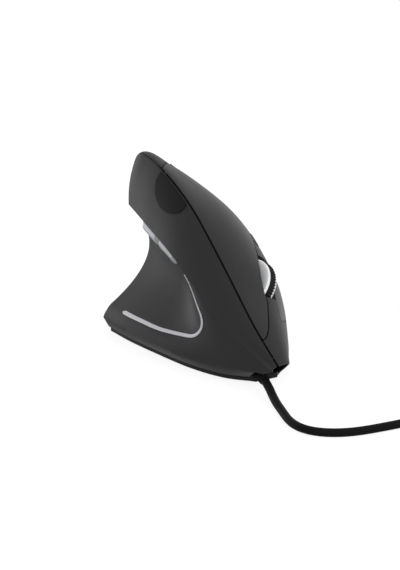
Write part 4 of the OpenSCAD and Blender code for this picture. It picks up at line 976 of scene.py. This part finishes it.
def post_mesh(at, board_z, high):
    """A round post from just over a switch's plunger up to a height."""
    low, r = board_z + SWITCH_H + PLUNGER_OUT + TOUCH_GAP, (PLUNGER_D + 1) / 2
    return lathe_mesh(at, [(0, low), (r, low), (r, high), (0, high)], steps=32)


def press_post(x, y, u, s):
    return post_mesh(shifted(WHEEL_AT, (x, y, 0)), BOARD_Z, skin_height(WHEEL_AT, x, y, u, s) - WALL + SINK)


def finger_panel(name, cells, rear, front, low, high, gap, extras):
    b = np.linspace(0, 1, cells[1] + 1)[None, :]
    first, last = rear(b), front(b)
    share = np.linspace(0, 1, cells[0] + 1)[:, None]
    u = lerp(first + gap_u(first, PANEL_S, gap), last - gap_u(last, PANEL_S, gap), share)
    s = lerp(low(u), high(u), b)
    outer = finger_skin(u, s)
    keep = np.ones(cells, bool)
    return wall_piece(name, outer, outer - WALL * finger_in(u, s), keep, PANEL_ROUND, extras)


stand_for(finger_panel(
    "upper_finger_button", UPPER_CELLS, upper_rear, upper_front, finger_top,
    lambda u: upper_edge(u) - gap_s(u, upper_edge(u)), PANEL_GAP,
    [*knuckles(upper_hinge), press_post(UPPER_SWITCH_X, -SWITCH_Y, *UPPER_SWITCH_NEAR)],
), "upper_button", "upper_button")
stand_for(finger_panel(
    "lower_finger_button", LOWER_CELLS, lower_rear, lower_front,
    lambda u: lower_start(u) + gap_s(u, lower_start(u), LOWER_GAP),
    lambda u: lower_end(u) - gap_s(u, lower_end(u), LOWER_GAP), LOWER_GAP,
    [*knuckles(lower_hinge), press_post(LOWER_SWITCH_X, SWITCH_Y, *LOWER_SWITCH_NEAR)],
), "lower_button", "lower_button")

# Thumb buttons: rounded silver bars under the lip
THUMB_BOARD_Z = -12.5
BAR_CELLS = (48, 24)
BAR_ROUND, BAR_MID, BAR_PROUD, BAR_END, BAR_EDGE = 0.12, 0.34, 2.4, 0.3, 0.1
SHELF_TOP_S, SHELF_DEEP = 0.59, 1.7


def thumb_bar(name, us, solid_us):
    """A crowned bar with round ends, on a shelf that fills the window up to the lip.
    Its stem stands over the switch of the solid button."""
    a = eased(BAR_CELLS[0])[:, None]
    b = np.linspace(0, 1, BAR_CELLS[1] + 1)[None, :]
    u, s = np.broadcast_arrays(lerp(*us, a), lerp(THUMB_S0, SHELF_TOP_S, b))
    from_end = np.sqrt(1 - (1 - np.minimum(1, np.minimum(a, 1 - a) / BAR_ROUND)) ** 2)
    across = np.abs(b - BAR_MID) / (BAR_MID * lerp(BAR_END, 1, from_end))
    crown = np.sqrt(np.maximum(0, 1 - np.minimum(1, across) ** 3)) * from_end
    out = THUMB_AT[:3, 2]
    base = thumb_side(u, s)
    outer = base + lerp(-SHELF_DEEP, BAR_PROUD, crown)[..., None] * out
    middle = (thumb_side(np.float64(sum(solid_us) / 2), THUMB_MID_S) - THUMB_AT[:3, 3]) @ THUMB_AT[:3, 0]
    stem = post_mesh(shifted(THUMB_AT, (middle, 0, 0)), THUMB_BOARD_Z, -THUMB_INSET + SINK)
    return wall_piece(name, outer, base - THUMB_INSET * out, np.ones(BAR_CELLS, bool), BAR_EDGE, [stem])


stand_for(thumb_bar("back_thumb_button", BACK_U, SOLID_BACK_U), "back_button", "back_button")
stand_for(thumb_bar("forward_thumb_button", FORWARD_U, SOLID_FORWARD_U), "forward_button", "forward_button")

# Inlay plate on the thumb side against the ridge, half round
TRIM_LIFT = 0.12
PLATE_CELLS, PLATE_U, PLATE_DEEP, PLATE_SKEW = (56, 16), (0.2, 0.387), 0.185, 0.15
PLATE_PROUD, PLATE_EDGE, PLATE_GAP_S, PLATE_SPAN = 0.4, 0.15, 0.012, (0.04, 0.96)


def ridge_plate():
    a = lerp(*PLATE_SPAN, eased(PLATE_CELLS[0]))[:, None]
    b = np.linspace(0, 1, PLATE_CELLS[1] + 1)[None, :]
    deep = PLATE_DEEP * np.sqrt(1 - (2 * a - 1) ** 2) * (1 - b)
    u = lerp(*PLATE_U, a) - PLATE_SKEW * deep
    s = thumb_top(u) - PLATE_GAP_S - deep
    n = normal(thumb_side, u, s)
    skin = thumb_side(u, s)
    keep = np.ones(PLATE_CELLS, bool)
    return wall_piece("ridge_inlay", skin + PLATE_PROUD * n, skin + TRIM_LIFT * n, keep, PLATE_EDGE)


stand_for(ridge_plate(), "chassis", "ridge_plate")

# Accent strip, swept over the scoop in a hook
STRIP_PATH = [
    (0.121, 0.135), (0.255, 0.14), (0.4, 0.149), (0.513, 0.182), (0.575, 0.229),
    (0.604, 0.324), (0.597, 0.419), (0.547, 0.474), (0.500, 0.523), (0.467, 0.570),
]
STRIP_WIDE, STRIP_NARROW, STRIP_PROUD, STRIP_EDGE = 1.9, 0.9, 0.45, 0.08
STRIP_CELLS, STRIP_SIDE, STRIP_END, STRIP_TAPER = (160, 6), 0.7, 0.05, 90


def accent_strip():
    t = np.linspace(0, 1, STRIP_CELLS[0] + 1)
    path = spline([(*p, 0) for p in STRIP_PATH], t)[:, :2]
    u, s = path[:, :1], path[:, 1:]
    n = normal(thumb_side, u, s)
    skin = thumb_side(u, s)
    run = unit(np.gradient(skin[:, 0], axis=0))[:, None]
    ends = np.minimum(1, np.sqrt(np.minimum(t, 1 - t) * STRIP_TAPER + STRIP_END))
    width = (lerp(STRIP_WIDE, STRIP_NARROW, t) * ends)[:, None, None]
    across = np.linspace(-0.5, 0.5, STRIP_CELLS[1] + 1)[None, :, None]
    rise = lerp(STRIP_PROUD, STRIP_PROUD * STRIP_SIDE, np.abs(2 * across) ** 3)
    line = skin + across * width * unit(np.cross(n, run))
    keep = np.ones(STRIP_CELLS, bool)
    return wall_piece("accent_line", line + rise * n, line + TRIM_LIFT * n, keep, STRIP_EDGE)


stand_for(accent_strip(), "chassis", "accent_strip")

# Wheel: a dished hub with two silver rims, and a rubber tyre whose ribs come from a node tree
HUB_AT = turned_across(WHEEL_AT)


def wheel_hub():
    r, half = WHEEL_D / 2, WHEEL_W / 2
    seat, bore = r - TYRE_T, AXLE_D / 2
    side = [
        (bore, half - 0.3), (bore + 1.6, half - 0.3), (bore + 1.9, half - 0.4), (bore + 2.2, half - 0.8),
        (bore + 2.6, half - 0.9), (seat - 4.0, half - 0.9), (seat - 2.6, half - 0.72),
        (seat - 1.2, half - 0.4), (seat - 0.3, half - 0.1), (r - 1.2, half), (r - 0.8, half - 0.05),
        (r - 0.55, half - 0.3), (r - 0.5, half - 0.5), (r - 0.5, half - RIM_W), (seat, half - RIM_W),
    ]
    mirrored = [(q, -h) for q, h in reversed(side)]
    piece = add_object("wheel_dish", lathe_mesh(HUB_AT, side + mirrored + side[:1], 128, "wheel_dish"))
    shade(piece.data, sharp_degrees=30)
    return piece


def tree_socket(tree, name, kind, default=None):
    socket = tree.interface.new_socket(name, in_out="INPUT", socket_type=kind)
    if default is not None:
        socket.default_value = default
    return socket.identifier


def ribs_tree():
    """Ribs set round a ring: each is one instance of the given rib on a point of a circle."""
    tree = bpy.data.node_groups.new("tyre ribs", "GeometryNodeTree")
    tree.interface.new_socket("Geometry", in_out="INPUT", socket_type="NodeSocketGeometry")
    tree.interface.new_socket("Geometry", in_out="OUTPUT", socket_type="NodeSocketGeometry")
    inputs = {
        "Rib count": tree_socket(tree, "Rib count", "NodeSocketInt", 48),
        "Ring radius": tree_socket(tree, "Ring radius", "NodeSocketFloat", 0.01),
        "Rubber": tree_socket(tree, "Rubber", "NodeSocketMaterial"),
    }
    add, link = tree.nodes.new, tree.links.new
    start, end = add("NodeGroupInput"), add("NodeGroupOutput")
    ring, spread = add("GeometryNodeMeshCircle"), add("GeometryNodeInstanceOnPoints")
    spot, turn = add("GeometryNodeInputPosition"), add("FunctionNodeAlignRotationToVector")
    turn.axis = "X"
    turn.pivot_axis = "Z"
    real, rubber = add("GeometryNodeRealizeInstances"), add("GeometryNodeSetMaterial")
    link(start.outputs["Rib count"], ring.inputs["Vertices"])
    link(start.outputs["Ring radius"], ring.inputs["Radius"])
    link(spot.outputs["Position"], turn.inputs["Vector"])
    link(ring.outputs["Mesh"], spread.inputs["Points"])
    link(start.outputs["Geometry"], spread.inputs["Instance"])
    link(turn.outputs["Rotation"], spread.inputs["Rotation"])
    link(spread.outputs["Instances"], real.inputs["Geometry"])
    link(real.outputs["Geometry"], rubber.inputs["Geometry"])
    link(start.outputs["Rubber"], rubber.inputs["Material"])
    link(rubber.outputs["Geometry"], end.inputs["Geometry"])
    return tree, inputs


RIB_COUNT, RIB_DEEP, RIB_WIDE = 56, 0.45, 0.85


def wheel_tyre():
    r, half = WHEEL_D / 2, WHEEL_W / 2 - RIM_W
    rib = [(-0.5, -0.4), (-0.42, 0.0), (-0.2, 0.34), (0, RIB_DEEP), (0.2, 0.34), (0.42, 0.0), (0.5, -0.4)]
    bm = bmesh.new()
    ends = []
    for z, low in ((-half, 0.75), (-half + 0.35, 1), (half - 0.35, 1), (half, 0.75)):
        ends.append([bm.verts.new((x * low * MM, y * RIB_WIDE * MM, z * MM)) for y, x in rib])
    for first, second in zip(ends[:-1], ends[1:]):
        for k in range(len(rib) - 1):
            bm.faces.new((first[k], first[k + 1], second[k + 1], second[k]))
    bm.faces.new(ends[0])
    bm.faces.new(ends[-1])
    piece = add_object("ribbed_tyre", finish_bm(bm, "rib"))
    tree, inputs = ribs_tree()
    ribs = piece.modifiers.new("ribs", "NODES")
    ribs.node_group = tree
    ribs[inputs["Rib count"]] = RIB_COUNT
    ribs[inputs["Ring radius"]] = (r - RIB_DEEP) * MM
    ribs[inputs["Rubber"]] = looks["tyre"]
    settle(piece)
    seat = r - TYRE_T
    body = lathe_mesh(np.eye(4), [
        (seat, -half), (r - RIB_DEEP - 0.3, -half), (r - RIB_DEEP, -half + 0.3), (r - RIB_DEEP, half - 0.3),
        (r - RIB_DEEP - 0.3, half), (seat, half), (seat, -half),
    ], 2 * RIB_COUNT)
    bm = bmesh.new()
    bm.from_mesh(piece.data)
    bm.from_mesh(body)
    bm.to_mesh(piece.data)
    bm.free()
    in_place = HUB_AT.copy()
    in_place[:3, 3] *= MM
    piece.data.transform(Matrix(in_place.tolist()))
    shade(piece.data, sharp_degrees=50)
    return piece


stand_for(wheel_hub(), "wheel", "wheel_hub")
stand_for(wheel_tyre(), "wheel", "wheel_tyre")

# Boot of the cord: a collar, then ribs that thin out towards the cord
SADDLE_L, SADDLE_Y, NECK_D, BOOT_RIBS, BOOT_GROOVE = 3.5, 41.85, 4.2, 4, 0.25
SADDLE_AT = CORD_EXIT - CORD_HEADING * (CORD_EXIT[1] - SADDLE_Y)
BOOT_REACH = float(np.linalg.norm(CORD_EXIT - SADDLE_AT))


def cord_boot():
    half, neck, r, end = SADDLE_L / 2, NECK_D / 2, BUSHING_D / 2, CORD_D / 2 + 0.25
    profile = [(0, -half - 1.2), (neck + 0.9, -half - 1.2), (neck + 1, -half - 1.1), (neck + 1, -half - 0.1)]
    profile += [(neck, -half - 0.05), (neck, half + 0.3), (r - 0.15, half + 0.6), (r, half + 0.9)]
    profile += [(r, half + 2.2), (r - 0.3, half + 2.5)]
    start = half + 2.8
    pitch = (BOOT_REACH - start) / BOOT_RIBS
    for k in range(BOOT_RIBS):
        top, h = lerp(r - 0.3, end + 0.1, k / BOOT_RIBS), start + pitch * k
        groove = top - BOOT_GROOVE
        profile += [(top, h), (top, h + 0.45 * pitch), (groove, h + 0.55 * pitch), (groove, h + 0.9 * pitch)]
    profile += [(end, BOOT_REACH - 0.2), (end - 0.2, BOOT_REACH), (0, BOOT_REACH)]
    at = place(SADDLE_AT, np.array([0.0, 0, 1]), CORD_HEADING)
    piece = add_object("cord_boot", lathe_mesh(at, profile, 48, "cord_boot"))
    shade(piece.data, sharp_degrees=50)
    return piece


stand_for(cord_boot(), "chassis", "cable_bushing")


# Plain solids shown with rounded edges
def rounded(name, node, body, width):
    """A copy of a plain solid with its edges rounded."""
    bm = bmesh.new()
    bm.from_mesh(nodes[node].data)
    bmesh.ops.remove_doubles(bm, verts=bm.verts, dist=0.01 * MM)
    bmesh.ops.dissolve_limit(bm, angle_limit=math.radians(1), verts=bm.verts, edges=bm.edges)
    piece = add_object(name, finish_bm(bm, name))
    bevelled(piece, width)
    settle(piece)
    stand_for(piece, body, node)
    return piece


rounded("pace_key", "pace_button", "pace_button", 0.18)
rounded("underside", "base_plate", "chassis", 0.25)
on_cord = [
    rounded("plug_handle", "plug_grip", "chassis", 0.8),
    rounded("plug_sleeve", "plug_shell", "chassis", 0.12),
    rounded("cord_tie", "coil_tie", "chassis", 0.2),
]

# Stage: a pale floor and sky that show white, under soft light
FLOOR_R, FLOOR_LIT, FLOOR_GLOW, FLOOR_PLAIN = 6, 0.3, 0.835, 0.3
SKY_SOFT = 0.35


def grey(share):
    return (share, share, share, 1)


def shown_white(tree, kind, plain, shown):
    """Ends a tree in a mix: camera, glossy and clear rays meet the shown shader, others the plain one."""
    add, link = tree.nodes.new, tree.links.new
    out, mixed, path = add(kind), add("ShaderNodeMixShader"), add("ShaderNodeLightPath")
    seen, any_way = add("ShaderNodeMath"), add("ShaderNodeMath")
    seen.operation = any_way.operation = "MAXIMUM"
    link(path.outputs["Is Camera Ray"], seen.inputs[0])
    link(path.outputs["Is Glossy Ray"], seen.inputs[1])
    link(seen.outputs[0], any_way.inputs[0])
    link(path.outputs["Is Transmission Ray"], any_way.inputs[1])
    link(any_way.outputs[0], mixed.inputs["Fac"])
    link(plain.outputs[0], mixed.inputs[1])
    link(shown.outputs[0], mixed.inputs[2])
    link(mixed.outputs[0], out.inputs["Surface"])


def stage_material(name):
    """A floor that glows white to the camera, with the object's shadow kept on it."""
    material = bpy.data.materials.new(name)
    material.use_nodes = True
    tree = material.node_tree
    tree.nodes.clear()
    add = tree.nodes.new
    plain, lit = add("ShaderNodeBsdfDiffuse"), add("ShaderNodeBsdfDiffuse")
    glow, both = add("ShaderNodeEmission"), add("ShaderNodeAddShader")
    plain.inputs["Color"].default_value = grey(FLOOR_PLAIN)
    lit.inputs["Color"].default_value = grey(FLOOR_LIT)
    glow.inputs["Color"].default_value = grey(1)
    glow.inputs["Strength"].default_value = FLOOR_GLOW
    tree.links.new(lit.outputs[0], both.inputs[0])
    tree.links.new(glow.outputs[0], both.inputs[1])
    shown_white(tree, "ShaderNodeOutputMaterial", plain, both)
    return material


bm = bmesh.new()
bmesh.ops.create_circle(bm, cap_ends=True, radius=FLOOR_R, segments=96)
floor = add_object("floor", finish_bm(bm, "floor"))
floor.data.materials.append(stage_material("pale floor"))

world = bpy.data.worlds.new("studio")
bpy.context.scene.world = world
world.use_nodes = True
sky = world.node_tree
sky.nodes.clear()
soft, white = sky.nodes.new("ShaderNodeBackground"), sky.nodes.new("ShaderNodeBackground")
soft.inputs["Color"].default_value = grey(1)
soft.inputs["Strength"].default_value = SKY_SOFT
white.inputs["Color"].default_value = grey(1)
shown_white(sky, "ShaderNodeOutputWorld", soft, white)
LAMP_AIM = Vector((0, 0, 0.03))


def softbox(name, spot, size, power):
    light = bpy.data.lights.new(name, "AREA")
    light.shape = "RECTANGLE"
    light.size, light.size_y = size
    light.energy = power
    lamp = bpy.data.objects.new(name, light)
    lamp.location = spot
    lamp.rotation_mode = "QUATERNION"
    lamp.rotation_quaternion = (LAMP_AIM - Vector(spot)).to_track_quat("-Z", "Y")
    bpy.context.scene.collection.objects.link(lamp)


softbox("near lamp", (0.11, -0.19, 0.05), (0.1, 0.1), 0.075)
softbox("rear fill", (-0.5, -0.7, 0.9), (0.8, 0.8), 3)
softbox("front fill", (-0.7, 0.8, 0.6), (0.8, 0.8), 5)
softbox("left fill", (0.45, 0.9, 0.6), (0.6, 0.6), 5)

bpy.context.scene.view_settings.view_transform = "Standard"
